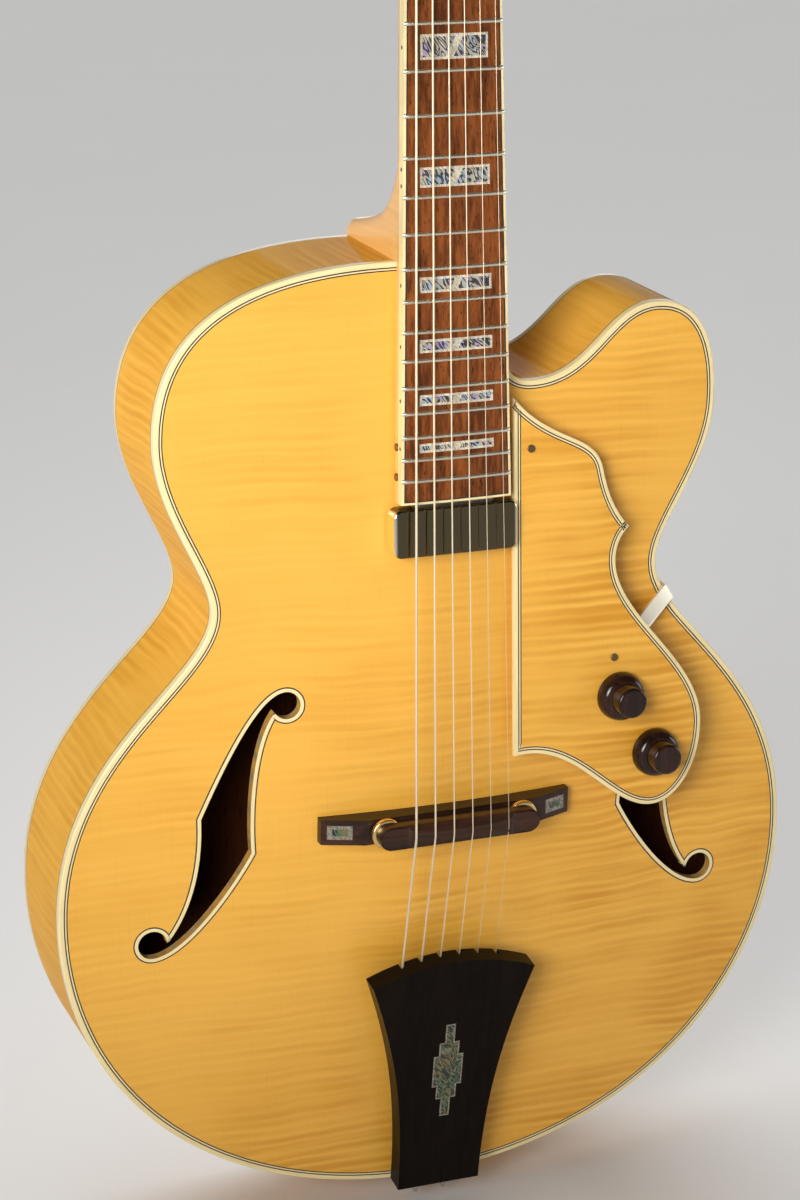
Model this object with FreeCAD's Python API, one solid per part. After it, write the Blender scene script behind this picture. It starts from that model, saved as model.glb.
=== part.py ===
"""Archtop guitar with one rounded cutaway, a floating pickup and an end-pin output jack.

Millimetres. X points to the treble side, Y points from the player's view into the body and Z points up the
neck. The origin is on the axis of the output jack, where that axis leaves the tail of the rim.
Heights above the flat edge of the top are measured towards the viewer, so they are negative Y.
"""
import FreeCAD
import Part
import math
import os

Vector = FreeCAD.Vector
Placement = FreeCAD.Placement
Rotation = FreeCAD.Rotation

os.makedirs("parts", exist_ok=True)

# Body outline, widths across the body and heights above the tail
body_length = 501.8
lower_bout = 403.6
lower_bout_z = 176.0
waist = 242.0
bass_waist_z = 331.0
treble_waist_z = 335.0
upper_bout = 301.0
upper_bout_z = 420.0
shoulder_x = 30.0
horn_top_x = 116.0
horn_top_z = 472.5
cutaway_x = 48.0
cutaway_z = 436.7
neck_side_x = 31.0
neck_side_z = 458.0

# Fullness of the outline, the length of each curve's handles
tail_handle = 120.0
lower_handle_down = 97.0
lower_handle_up = 92.0
waist_handle_down = 35.0
waist_handle_up = 21.0
upper_handle_down = 36.0
upper_handle_up = 66.0
shoulder_handle = 61.0
horn_side_handle = 34.0
horn_top_handle_out = 22.0
horn_top_handle_in = 28.0
cutaway_handle_out = 34.0
cutaway_handle_in = 12.0
neck_side_handle = 13.0

# Body walls
rim_depth = 68.4
rim_thickness = 2.8
plate_thickness = 5.0
top_arch = 14.0
back_arch = 14.0
long_arch_power = 1.5
cutaway_ramp = 70.0
arch_grid = 10.0
binding_width = 2.6
purfling_width = 1.4
purfling_depth = 2.0
lining_width = 6.0
lining_depth = 12.0
block_length = 52.0
tail_block_half = 36.0
tail_block_depth = 24.0
tone_bar_width = 8.0
tone_bar_depth = 10.0
tone_bar_x = 46.0
tone_bar_low_z = 95.0
tone_bar_high_z = 400.0
tone_bar_splay = 0.06

# Sound holes
hole_x_upper = 84.0
hole_z_upper = 281.0
hole_eye_upper = 7.0
hole_x_lower = 153.5
hole_z_lower = 158.5
hole_eye_lower = 7.5
hole_outer_nick = (9.6, 4.4)
hole_inner_nick = (-16.3, -16.0)
hole_upper_cusp = (7.7, -5.4)
hole_lower_cusp = (-9.2, 2.2)
hole_outer_handles = ((15.0, 0.0), (-10.0, 22.0), (-1.0, -24.2), (-11.3, 14.8))
hole_inner_handles = ((-17.0, 0.0), (9.5, -18.0), (2.0, 26.0), (9.5, -15.0))
hole_binding = 1.8

# Neck and fingerboard
scale_length = 635.0
fret_count = 22
joint_fret = 14
joint_inset = 2.8
joint_height = 11.6
neck_angle = 4.38
nut_width = 42.9
board_taper = 0.0334
board_radius = 305.0
board_thickness = 6.4
board_overhang = 11.8
board_binding = 1.7
fret_width = 2.2
fret_height = 1.1
nut_thickness = 5.0
nut_height = 2.2
neck_depth_nut = 14.5
neck_depth_heel = 17.0
round_handle = 0.5523
heel_length = 90.0
heel_root_length = 24.0
heel_tip_length = 8.5
heel_sweep = 0.15
heel_corner = 7.0
heel_steps = 12
extension_depth = 5.2
extension_inset = 0.6
extension_lap = 1.0
top_clearance = 0.5
truss_rod_radius = 2.5
truss_rod_clearance = 0.1
truss_rod_drop = 5.5
truss_rod_start = 22.0

# Inlays of the fingerboard
inlay_spaces = (3, 5, 7, 9, 12, 15, 17, 19, 21)
inlay_share_wide = 0.685
inlay_share_long = 0.67
inlay_shortening = 3.0
inlay_depth = 1.0
inlay_frame = 1.2
inlay_slash = 4.0
inlay_slant = 0.55
dot_radius = 1.0
dot_spacing = 8.0
dot_level = 3.8
double_dot_space = 12
dot_depth = 1.2

# Headstock
head_angle = 14.0
head_length = 172.0
head_low_half = 31.0
head_low_z = 31.0
head_low_handles = (15.5, 10.3)
head_high_half = 37.0
head_high_z = 154.8
head_crown_handles = (22.2, 11.1)
head_thickness = 14.5
veneer_thickness = 2.0
cover_length = 34.0
cover_foot_half = 7.2
cover_bulge = (12.6, 13.6)
cover_neck = (4.5, 20.4)
cover_thickness = 1.6
cover_start = 3.5
cover_screws = ((-5.4, 4.0), (5.4, 4.0), (0.0, 29.0))
rod_pocket_half = 4.2
rod_pocket_depth = 9.0
rod_pocket_start = 5.5
rod_pocket_end = 31.5
truss_rod_end = 20.4

# Tuners
tuner_x = 21.5
tuner_first_z = 50.0
tuner_spacing = 40.0
post_radius = 3.0
post_reach = 15.0
post_running_fit = 0.05
post_hole_radius = 1.0
bushing_sleeve_radius = 4.3
bushing_flange_radius = 6.0
bushing_flange = 2.0
bushing_sleeve_length = 8.0
wheel_radius = 5.0
wheel_thickness = 4.0
worm_radius = 2.6
worm_length = 11.0
gear_gap = 0.3
wheel_floor_gap = 1.5
shaft_radius = 2.0
shaft_running_fit = 0.1
housing_half_x = 9.0
housing_depth = 13.0
housing_wall = 1.5
housing_room = 2.0
ear_length = 6.0
ear_half_width = 3.0
ear_thickness = 1.5
button_start = 18.0
button_half_x = 10.0
button_half_z = 8.5
button_thickness = 7.0
button_edge = 2.0

# Strings, from the bass side to the treble side
string_diameters = (1.32, 1.07, 0.81, 0.61, 0.41, 0.30)
nut_spread = 35.0
saddle_spread = 51.0
tail_spread = 52.8
nut_action = 1.2
saddle_action = 4.6
string_over_head = 8.0
string_gap = 0.05
ball_radius = 1.9
ball_length = 3.6
ball_gap = 0.4

# Bridge
bridge_setback = 4.6
bridge_half_length = 68.5
bridge_width = 13.5
bridge_base_rise = 9.5
bridge_end_rise = 5.0
bridge_flat_half = 47.0
bridge_inlay_x = 59.5
bridge_inlay_long = 13.0
bridge_inlay_wide = 7.6
stud_x = 37.4
stud_radius = 2.0
stud_seat = 5.0
saddle_width = 12.6
saddle_crest_width = 3.2
saddle_lift = 10.0
saddle_end_drop = 3.5
saddle_crown_margin = 4.0
saddle_crown_bevel = 2.0
wheel_rim_radius = 8.0
wheel_height = 3.0
wheel_running_fit = 0.05
stud_clearance = 0.3
stud_tip_drop = 3.0

# Tailpiece and its cable
tailpiece_start = 2.0
tailpiece_rise = 15.5
tailpiece_slope = 7.3
tailpiece_length = 138.5
tailpiece_crown_drop = 9.5
tailpiece_tail_half = 23.0
tailpiece_crown_half = 45.0
tailpiece_side_low_z = 58.0
tailpiece_side_high_z = 93.0
tailpiece_side_half = 32.4
tailpiece_thickness = 11.5
slot_width = 2.4
slot_depth = 4.6
slot_length = 13.0
ornament_middle = 72.0
ornament_steps = ((2.7, 28.5), (5.6, 17.5), (8.3, 9.5))
ornament_depth = 1.0
cable_radius = 1.3
cable_half_spacing = 8.0
cable_anchor = 12.0
saddle_block_half = 14.0
saddle_block_height = 3.2
saddle_block_depth = 2.2

# Output jack
jack_bore_radius = 3.3
jack_barrel_radius = 6.0
jack_barrel_length = 26.0
jack_collar_radius = 9.0
jack_collar = 2.0
jack_waist_radius = 6.6
jack_waist_length = 10.0
jack_end_radius = 9.5
jack_end = 3.0

# Pickguard
guard_top = 7.0
guard_thickness = 3.2
guard_binding = 2.0
guard_screws = ((42.7, -447.0), (89.1, -560.3))
guard_edge_x = 33.4
guard_tip_z = -420.6
guard_shoulder = (82.8, -461.0)
guard_point = (97.5, -492.0)
guard_waist = (89.8, -509.0)
guard_bulge = (139.3, -600.0)
guard_bottom = (111.3, -642.5)
guard_corner_z = -607.0
guard_tip_handles = ((22.0, -26.0), (-4.0, 20.0))
guard_shoulder_handles = ((2.4, -12.0), (-8.0, 8.0))
guard_point_handles = ((-5.0, -4.0), (0.0, 7.0))
guard_waist_handles = ((0.0, -30.0), (0.0, 34.0))
guard_bulge_handles = ((0.0, -24.0), (15.0, 0.0))
guard_bottom_handles = ((-24.0, 0.0), (34.0, 6.0))
guard_block_half = 7.0
strap_width = 8.8
strap_bend = 13.0
strap_thickness = 1.5
strap_grip = 14.0
strap_gap = 0.3

# Pickup
pickup_length = 66.4
pickup_width = 24.8
pickup_drop = 1.6
pickup_height = 9.6
pickup_gap = 2.4
pickup_corner = 4.5
pickup_edge = 1.4
pickup_wall = 0.8
coil_half_long = 30.0
coil_half_wide = 4.6
coil_height = 5.0
base_thickness = 1.2
rod_radius = 1.6
rod_length = 34.0
rod_x = 18.5
rod_screws = (28.0, 13.0)
coil_gap = 0.6
bracket_lift = 1.0

# Controls
volume_place = (92.1, -581.0)
tone_place = (112.2, -613.6)
pot_radius = 8.2
pot_depth = 7.8
pot_bushing_radius = 3.5
pot_nut_radius = 5.2
pot_nut_height = 2.0
pot_shaft_radius = 3.0
pot_running_fit = 0.05
knob_skirt_radius = 12.8
knob_cap_radius = 8.0
knob_gap = 0.6
knob_skirt_height = 7.4
knob_height = 17.0
knob_hollow_radius = 7.2
knob_hollow_depth = 3.4
knob_edge = 1.0
knob_rim = 1.2
knob_bulge = (11.2, 0.4)
knob_skirt_handle = 2.4
pot_floor = 2.0
pot_end_gap = 0.3
capacitor_radius = 2.2
capacitor_length = 10.0

# Small screws
screw_head_radius = 2.0
screw_head_height = 1.0
screw_shank_radius = 1.1
screw_length = 8.0

# Places that follow from the sizes above
front_edge = -rim_depth / 2
back_edge = rim_depth / 2
joint_z = body_length - joint_inset
slant = math.radians(neck_angle)


def fret_place(fret):
    """Distance from the nut down the neck to a fret."""
    return scale_length * (1 - 2 ** (-fret / 12))


nut_y = front_edge - joint_height * math.cos(slant) + fret_place(joint_fret) * math.sin(slant)
nut_z = joint_z + joint_height * math.sin(slant) + fret_place(joint_fret) * math.cos(slant)
neck_frame = Placement(Vector(0, nut_y, nut_z), Rotation(Vector(1, 0, 0), -neck_angle))
head_frame = neck_frame.multiply(
    Placement(Vector(0, board_thickness - veneer_thickness, nut_thickness),
              Rotation(Vector(1, 0, 0), -head_angle)))
board_length = fret_place(fret_count) + board_overhang
head_back = head_thickness + veneer_thickness
saddle_place = scale_length + bridge_setback
crest = neck_frame.multVec(Vector(0, -saddle_action, -saddle_place))
tail_frame = Placement(
    Vector(0, front_edge - tailpiece_rise, tailpiece_start), Rotation(Vector(1, 0, 0), tailpiece_slope))
guard_bottom_face = guard_top + guard_thickness


# General helpers
def place(shape, frame):
    """A copy of a shape, moved from a local frame into the body frame."""
    moved = shape.copy()
    moved.Placement = frame.multiply(moved.Placement)
    return moved


def save(name, *solids):
    """Write one node, as a single solid or as a group of separate solids."""
    shape = solids[0] if len(solids) == 1 else Part.makeCompound(list(solids))
    shape.exportStep("parts/" + name + ".step")


def box(x_low, x_high, y_low, y_high, z_low, z_high):
    """A box between limits along each axis."""
    return Part.makeBox(x_high - x_low, y_high - y_low, z_high - z_low, Vector(x_low, y_low, z_low))


def rod(radius, start, end):
    """A cylinder from one point to another."""
    axis = end.sub(start)
    return Part.makeCylinder(radius, axis.Length, start, axis)


def pillar(radius, x, z, y_low, y_high):
    """A cylinder along Y."""
    return Part.makeCylinder(radius, y_high - y_low, Vector(x, y_low, z), Vector(0, 1, 0))


def flat_face(edges):
    """A face bounded by edges that form one closed loop."""
    return Part.Face(Part.Wire(Part.__sortEdges__(edges)))


def curve(points):
    """A cubic curve with two handles, through points given as (x, z)."""
    bezier = Part.BezierCurve()
    bezier.setPoles([Vector(x, 0, z) for x, z in points])
    return bezier.toShape()


def line(start, end):
    """A straight edge between points given as (x, z)."""
    return Part.makeLine(Vector(start[0], 0, start[1]), Vector(end[0], 0, end[1]))


def polygon(points):
    """A face with straight edges through points given as (x, z)."""
    loop = list(points) + [points[0]]
    return Part.Face(Part.makePolygon([Vector(x, 0, z) for x, z in loop]))


def thick(face, y_low, y_high):
    """A face of the XZ plane made into a solid between two depths."""
    moved = face.copy()
    moved.translate(Vector(0, y_low, 0))
    return moved.extrude(Vector(0, y_high - y_low, 0))


def screw_along(start, direction):
    """A small round-headed screw whose head rests on start and whose shank follows direction."""
    head = Part.makeCylinder(screw_head_radius, screw_head_height, start, direction * -1)
    shank = Part.makeCylinder(screw_shank_radius, screw_length, start, direction)
    return head.fuse(shank).removeSplitter()


# Body outline as curves between the stations where it runs straight up or straight across
half_lower = lower_bout / 2
half_waist = waist / 2
half_upper = upper_bout / 2


def lower_half(sign, waist_z):
    """The tail and lower bout on one side, up to the waist."""
    return [
        [(0, 0), (sign * tail_handle, 0), (sign * half_lower, lower_bout_z - lower_handle_down),
         (sign * half_lower, lower_bout_z)],
        [(sign * half_lower, lower_bout_z), (sign * half_lower, lower_bout_z + lower_handle_up),
         (sign * half_waist, waist_z - waist_handle_down), (sign * half_waist, waist_z)],
        [(sign * half_waist, waist_z), (sign * half_waist, waist_z + waist_handle_up),
         (sign * half_upper, upper_bout_z - upper_handle_down), (sign * half_upper, upper_bout_z)],
    ]


bass_curves = lower_half(-1, bass_waist_z) + [
    [(-half_upper, upper_bout_z), (-half_upper, upper_bout_z + upper_handle_up),
     (-shoulder_x - shoulder_handle, body_length), (-shoulder_x, body_length)],
]
horn_curve = [
    (half_upper, upper_bout_z), (half_upper, upper_bout_z + horn_side_handle),
    (horn_top_x + horn_top_handle_out, horn_top_z), (horn_top_x, horn_top_z),
]
cutaway_curves = [
    [(horn_top_x, horn_top_z), (horn_top_x - horn_top_handle_in, horn_top_z),
     (cutaway_x + cutaway_handle_out, cutaway_z), (cutaway_x, cutaway_z)],
    [(cutaway_x, cutaway_z), (cutaway_x - cutaway_handle_in, cutaway_z),
     (neck_side_x, neck_side_z - neck_side_handle), (neck_side_x, neck_side_z)],
]
treble_curves = lower_half(1, treble_waist_z) + [horn_curve] + cutaway_curves


def on_curve(points, t):
    """Point and direction of a cubic curve at t."""
    s = 1 - t
    shares = (s ** 3, 3 * t * s * s, 3 * t * t * s, t ** 3)
    steps = (s * s, 2 * s * t, t * t)
    place_xz = [sum(w * p[k] for w, p in zip(shares, points)) for k in (0, 1)]
    slope = [sum(w * (points[i + 1][k] - points[i][k]) for i, w in enumerate(steps)) for k in (0, 1)]
    return place_xz, slope


def inset_points(curves, inset, turn, samples=14):
    """Points along a chain of curves, moved into the body by inset; turn is the side the body lies on."""
    points = []
    for number, points_of_curve in enumerate(curves):
        first = 0 if number == 0 else 1
        for step in range(first, samples + 1):
            (x, z), (dx, dz) = on_curve(points_of_curve, step / samples)
            length = math.hypot(dx, dz)
            points.append((x + turn * inset * dz / length, z - turn * inset * dx / length))
    return points


def smooth(points, start, end):
    """A smooth edge through points given as (x, z), leaving along start and arriving along end."""
    spline = Part.BSplineCurve()
    spline.interpolate(Points=[Vector(x, 0, z) for x, z in points],
                       InitialTangent=Vector(start[0], 0, start[1]), FinalTangent=Vector(end[0], 0, end[1]))
    return spline.toShape()


def band(points, inset, turn):
    """The strip between a curve and its copy moved by inset to the side given by turn."""
    moved = inset_points([points], inset, turn)
    first = on_curve(points, 0)[1]
    last = on_curve(points, 1)[1]
    return flat_face([curve(points), smooth(moved, first, last), line(points[0], moved[0]),
                      line(points[-1], moved[-1])])


def outline(inset):
    """The body outline moved inwards by inset, as one closed wire."""
    bass = inset_points(bass_curves, inset, 1)
    treble = inset_points(treble_curves, inset, -1)
    corner = (neck_side_x - inset, body_length - inset)
    edges = [smooth(bass, (-1, 0), (1, 0)), line(bass[-1], corner), line(corner, treble[-1]),
             smooth(treble, (1, 0), (0, 1))]
    return Part.Wire(Part.__sortEdges__(edges))


def body_prism(inset, y_low, y_high):
    """Everything inside the outline between two depths."""
    return thick(Part.Face(outline(inset)), y_low, y_high)


def body_ring(outer, inner, y_low, y_high):
    """A band that follows the outline between two insets and two depths."""
    face = Part.makeFace([outline(outer), outline(inner)], "Part::FaceMakerBullseye")
    return thick(face, y_low, y_high)


# Arch of the plates
def half_widths(curves, turn):
    """Half width of the body at rising heights on one side, as (z, x)."""
    return [(z, abs(x)) for x, z in inset_points(curves, 0, turn)]


bass_widths = half_widths(bass_curves, 1)
treble_widths = half_widths(treble_curves[:3] + [horn_curve], -1)
cutaway_edge = inset_points(cutaway_curves, 0, -1) + [(neck_side_x, body_length)]


def width_at(widths, z):
    """Half width at a height, read between the known heights."""
    if z <= widths[0][0]:
        return widths[1][1]
    for (z_low, x_low), (z_high, x_high) in zip(widths, widths[1:]):
        if z <= z_high:
            return x_low + (x_high - x_low) * (z - z_low) / max(z_high - z_low, 1e-6)
    return widths[-1][1]


def ramp(share):
    """A smooth rise from 0 to 1."""
    return 0.5 - 0.5 * math.cos(math.pi * min(max(share, 0), 1))


def arch_share(x, z):
    """Height of the arch at a place as a share of its full height, flat along every edge."""
    along = math.sin(math.pi * min(max(z / body_length, 0), 1)) ** long_arch_power
    across = ramp(1 - abs(x) / width_at(bass_widths if x < 0 else treble_widths, z))
    nearest = min(math.hypot(x - a, z - b) for a, b in cutaway_edge)
    return along * across * ramp(nearest / cutaway_ramp)


def grid(low, high):
    """Evenly spaced values a little past both limits, about one grid step apart."""
    count = math.ceil((high - low) / arch_grid)
    return [low + (high - low) * k / count for k in range(count + 1)]


def arch_face(edge, height):
    """The outer face of an arched plate; a negative height rises towards the viewer."""
    margin = arch_grid
    rows = []
    for x in grid(-half_lower - margin, half_lower + margin):
        rows.append([Vector(x, edge + height * arch_share(x, z), z)
                     for z in grid(-margin, body_length + margin)])
    surface = Part.BSplineSurface()
    surface.interpolate(rows)
    return surface.toShape()


top_face = arch_face(front_edge, -top_arch)
back_face = arch_face(back_edge, back_arch)
behind_top = top_face.extrude(Vector(0, rim_depth / 2, 0))


def top_height(x, z):
    """Depth of the top's outer face at a place."""
    return front_edge - top_arch * arch_share(x, z)


# Sound holes
def hole_curves(sign):
    """Outline of the slanted middle of a sound hole: two long sides, each bent at a nick.

    The outer side leaves the top of the upper eye and ends at a cusp beside the lower eye. The inner side leaves
    the foot of the lower eye and ends at a cusp beside the upper eye. Nicks are steps outwards and up from the
    middle of the hole, cusps are steps from the centre of their eye, and handles are steps from their own point.
    """
    def step(base, move):
        return (base[0] + sign * move[0], base[1] + move[1])

    upper = (sign * hole_x_upper, hole_z_upper)
    lower = (sign * hole_x_lower, hole_z_lower)
    middle = ((upper[0] + lower[0]) / 2, (upper[1] + lower[1]) / 2)
    outer = [step(upper, (0, hole_eye_upper)), step(middle, hole_outer_nick), step(lower, hole_lower_cusp)]
    inner = [step(lower, (0, -hole_eye_lower)), step(middle, hole_inner_nick), step(upper, hole_upper_cusp)]
    curves = []
    for stops, handles in ((outer, hole_outer_handles), (inner, hole_inner_handles)):
        for k in (0, 1):
            curves.append([stops[k], step(stops[k], handles[2 * k]), step(stops[k + 1], handles[2 * k + 1]),
                           stops[k + 1]])
    return curves


def sound_hole(sign, grow):
    """A cutter for one sound hole: the slanted middle and the round eyes, widened by grow."""
    y_low = front_edge - top_arch - plate_thickness
    y_high = front_edge + 2 * plate_thickness
    curves = hole_curves(sign)
    ends = [line(curves[1][-1], curves[2][0]), line(curves[3][-1], curves[0][0])]
    solids = [
        pillar(hole_eye_upper + grow, sign * hole_x_upper, hole_z_upper, y_low, y_high),
        pillar(hole_eye_lower + grow, sign * hole_x_lower, hole_z_lower, y_low, y_high),
    ]
    if grow:
        solids += [thick(band(points, -grow, sign), y_low, y_high) for points in curves]
        solids += [pillar(grow, *points[-1], y_low, y_high) for points in curves]
    middle = thick(flat_face([curve(points) for points in curves] + ends), y_low, y_high)
    return middle.fuse(solids)


# Sound box
def make_sound_box():
    """Plates, sides, edge trim, blocks, linings and bars of the hollow body."""
    top_inner = front_edge + plate_thickness
    back_inner = back_edge - plate_thickness
    far_out = front_edge - top_arch - plate_thickness
    far_back = back_edge + back_arch + plate_thickness
    purfling = body_ring(binding_width, binding_width + purfling_width,
                         front_edge, front_edge + purfling_depth)
    top_slab = top_face.extrude(Vector(0, plate_thickness, 0))
    top = top_slab.common(body_prism(binding_width, far_out, top_inner + plate_thickness))
    wide_holes = [sound_hole(sign, hole_binding) for sign in (-1, 1)]
    trims = []
    for sign, wide in zip((-1, 1), wide_holes):
        trims.append(top.common(wide).cut(sound_hole(sign, 0)))
    purfling_room = body_ring(binding_width - 1, binding_width + purfling_width, far_out,
                              front_edge + purfling_depth)
    save("top_plate", top.cut(wide_holes + [purfling_room, tail_saddle]))
    save("f_hole_bindings", *trims)
    save("top_purfling", purfling.cut(tail_saddle))
    save("top_binding", body_ring(0, binding_width, front_edge, top_inner).cut(tail_saddle))
    save("back_binding", body_ring(0, binding_width, back_inner, back_edge))
    back_slab = back_face.extrude(Vector(0, -plate_thickness, 0))
    save("back_plate", back_slab.common(body_prism(binding_width, back_inner - plate_thickness, far_back)))

    jack_hole = rod(jack_barrel_radius,
                    Vector(0, 0, -jack_barrel_length), Vector(0, 0, 2 * jack_barrel_length))
    rim = body_ring(0, rim_thickness, top_inner, back_inner).cut(jack_hole)
    reach = body_length
    save("rim_bass", rim.common(box(-reach, 0, -reach, reach, -reach, 2 * reach)))
    save("rim_treble", rim.common(box(0, reach, -reach, reach, -reach, 2 * reach)))

    inside = body_prism(rim_thickness, top_inner, back_inner)
    block_top = body_length - rim_thickness
    neck_block = inside.common(box(-shoulder_x + rim_thickness, neck_side_x - rim_thickness,
                                   top_inner, back_inner, block_top - block_length, block_top))
    tail_block = inside.common(box(-tail_block_half, tail_block_half, top_inner, back_inner,
                                   0, tail_block_depth))
    save("neck_block", neck_block)
    save("tail_block", tail_block.cut(jack_hole))
    lining_end = rim_thickness + lining_width
    linings = []
    for y_low in (top_inner, back_inner - lining_depth):
        band = body_ring(rim_thickness, lining_end, y_low, y_low + lining_depth)
        linings.extend(band.cut([neck_block, tail_block]).Solids)
    save("linings", *linings)

    inner_face = top_face.copy()
    inner_face.translate(Vector(0, plate_thickness, 0))
    bar_layer = inner_face.extrude(Vector(0, tone_bar_depth, 0))
    bars = []
    for sign in (-1, 1):
        lean = tone_bar_splay * (tone_bar_high_z - tone_bar_low_z)
        low_x = sign * (tone_bar_x + lean / 2)
        high_x = sign * (tone_bar_x - lean / 2)
        half = tone_bar_width / 2
        plan = polygon([(low_x - half, tone_bar_low_z), (low_x + half, tone_bar_low_z),
                        (high_x + half, tone_bar_high_z), (high_x - half, tone_bar_high_z)])
        bars.append(bar_layer.common(thick(plan, far_out, back_inner)))
    save("tone_bars", *bars)


# Neck
def board_half(place_down):
    """Half width of the fingerboard at a distance down from the nut."""
    return (nut_width + board_taper * place_down) / 2


def board_plan(inset):
    """The tapered plan of the fingerboard, drawn in by inset at the sides and the lower end."""
    end = board_length - inset
    near = board_half(0) - inset
    far = board_half(end) - inset
    return polygon([(-near, 0), (near, 0), (far, -end), (-far, -end)])


def camber(drop):
    """Everything behind the cambered face of the fingerboard, lowered by drop."""
    radius = board_radius - drop
    return Part.makeCylinder(radius, board_length + 2 * nut_thickness,
                             Vector(0, board_radius, -board_length - 1))


def bow(half_width, depth, level, along):
    """Closed rounded section of the neck: flat at level, bowed by depth, at a place along the neck."""
    shift = round_handle
    left = Vector(-half_width, level, along)
    right = Vector(half_width, level, along)
    bottom = Vector(0, level + depth, along)
    down = Vector(0, shift * depth, 0)
    across = Vector(shift * half_width, 0, 0)
    first = Part.BezierCurve()
    first.setPoles([left, left + down, bottom - across, bottom])
    second = Part.BezierCurve()
    second.setPoles([bottom, bottom + across, right + down, right])
    return Part.Wire([first.toShape(), second.toShape(), Part.makeLine(right, left)])


def heel_reach(share):
    """Length of the heel at a share of the way to its tip: a sweep out of the neck, then a taper."""
    taper = heel_root_length + (heel_tip_length - heel_root_length) * share
    return taper + (heel_length - heel_root_length) * math.exp(-share / heel_sweep)


def heel_blank(half_width, top):
    """Heel as wide as the neck: its side profile carried across, with both long corners rounded."""
    points = []
    for step in range(heel_steps + 1):
        share = (step / heel_steps) ** 2
        depth = top + (back_edge - top) * share
        points.append(Vector(-half_width, depth, body_length + heel_reach(share)))
    sweep = Part.BSplineCurve()
    sweep.interpolate(points)
    foot = Vector(-half_width, back_edge, body_length)
    head = Vector(-half_width, top, body_length)
    straights = [Part.makeLine(a, b) for a, b in ((points[-1], foot), (foot, head), (head, points[0]))]
    profile = Part.Face(Part.Wire([sweep.toShape()] + straights))
    blank = profile.extrude(Vector(2 * half_width, 0, 0))
    corners = [edge for edge in blank.Edges if edge.Curve.TypeId == "Part::GeomBSplineCurve"]
    return blank.makeFillet(heel_corner, corners)


def head_plan():
    """Plain outline of the headstock in its own frame."""
    near = nut_width / 2
    sides = []
    for sign in (-1, 1):
        low = (sign * head_low_half, head_low_z)
        high = (sign * head_high_half, head_high_z)
        sides.append(curve([(sign * near, 0), (sign * near, head_low_handles[0]),
                            (low[0], head_low_handles[1]), low]))
        sides.append(line(low, high))
        sides.append(curve([high, (sign * head_crown_handles[0], head_length),
                            (sign * head_crown_handles[1], head_length), (0, head_length)]))
    return flat_face(sides + [line((-near, 0), (near, 0))])


def tuner_places():
    """Side sign and place of the six tuners, bass side first, from the nut upwards on each side."""
    rows = [tuner_first_z + row * tuner_spacing for row in range(3)]
    return [(-1, z) for z in rows] + [(1, z) for z in reversed(rows)]


def rod_room(clearance):
    """Place of the truss rod in the neck, widened by clearance."""
    level = board_thickness + truss_rod_drop
    end = -fret_place(joint_fret) + truss_rod_start
    return Part.makeCylinder(truss_rod_radius + clearance, truss_rod_end - end, Vector(0, level, end))


def rod_pocket():
    """Pocket in the face of the headstock where the truss rod ends."""
    return box(-rod_pocket_half, rod_pocket_half, -veneer_thickness, rod_pocket_depth + veneer_thickness,
               rod_pocket_start, rod_pocket_end)


def head_drill(radius):
    """The six holes of the tuners through the headstock."""
    return [pillar(radius, sign * tuner_x, z, -head_back, 2 * head_back) for sign, z in tuner_places()]


def make_neck():
    """Neck with heel, extension and headstock, and the pieces set into it."""
    joint_place = fret_place(joint_fret) - joint_inset
    shaft = Part.makeLoft([
        bow(board_half(0), neck_depth_nut, board_thickness, nut_thickness),
        bow(board_half(0), neck_depth_nut, board_thickness, 0),
        bow(board_half(joint_place), neck_depth_heel, board_thickness, -joint_place),
    ], True, True)
    neck = place(shaft, neck_frame)
    heel_top = neck_frame.multVec(Vector(0, board_thickness, -joint_place)).y
    heel = heel_blank(board_half(joint_place) - extension_inset, heel_top)
    heel = heel.cut(place(thick(board_plan(-heel_length), -heel_length, board_thickness), neck_frame))
    far = board_half(board_length) - extension_inset
    near = board_half(joint_place) - extension_inset
    start = -joint_place + extension_lap
    plan = polygon([(-near, start), (near, start), (far, -board_length), (-far, -board_length)])
    extension = place(thick(plan, board_thickness, board_thickness + extension_depth), neck_frame)
    lifted_top = behind_top.copy()
    lifted_top.translate(Vector(0, -top_clearance, 0))
    below_joint = box(-half_upper, half_upper, -rim_depth, rim_depth, 0, body_length)
    extension = extension.cut(lifted_top.common(below_joint))
    extension = extension.cut(box(-half_upper, half_upper, front_edge, rim_depth, 0, body_length))
    head = place(thick(head_plan(), veneer_thickness, head_back), head_frame)
    neck = neck.cut(box(-half_upper, half_upper, front_edge - joint_height, rim_depth, 0, body_length))
    neck = neck.fuse([heel, extension, head]).removeSplitter()
    neck = neck.cut(place(rod_room(truss_rod_clearance), neck_frame))
    neck = neck.cut(place(rod_pocket(), head_frame))
    neck = neck.cut([place(hole, head_frame) for hole in head_drill(bushing_sleeve_radius)])
    nut_room = place(nut_blank(), neck_frame)
    neck = neck.cut(pickup_rods() + small_screws + [nut_room])
    save("neck", neck)

    save("truss_rod", place(rod_room(0), neck_frame))
    plan = head_plan()
    veneer = thick(plan, 0, veneer_thickness).cut(head_drill(bushing_sleeve_radius) + [rod_pocket()])
    save("headstock_veneer", place(veneer, head_frame).cut(small_screws + [nut_room]))
    sides = [line((-cover_foot_half, cover_start), (cover_foot_half, cover_start))]
    for sign in (-1, 1):
        sides.append(curve([
            (sign * cover_foot_half, cover_start), (sign * cover_bulge[0], cover_start + cover_bulge[1]),
            (sign * cover_neck[0], cover_start + cover_neck[1]), (0, cover_start + cover_length)]))
    cover = flat_face(sides)
    save("truss_rod_cover", place(thick(cover, -cover_thickness, 0), head_frame).cut(small_screws))


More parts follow.
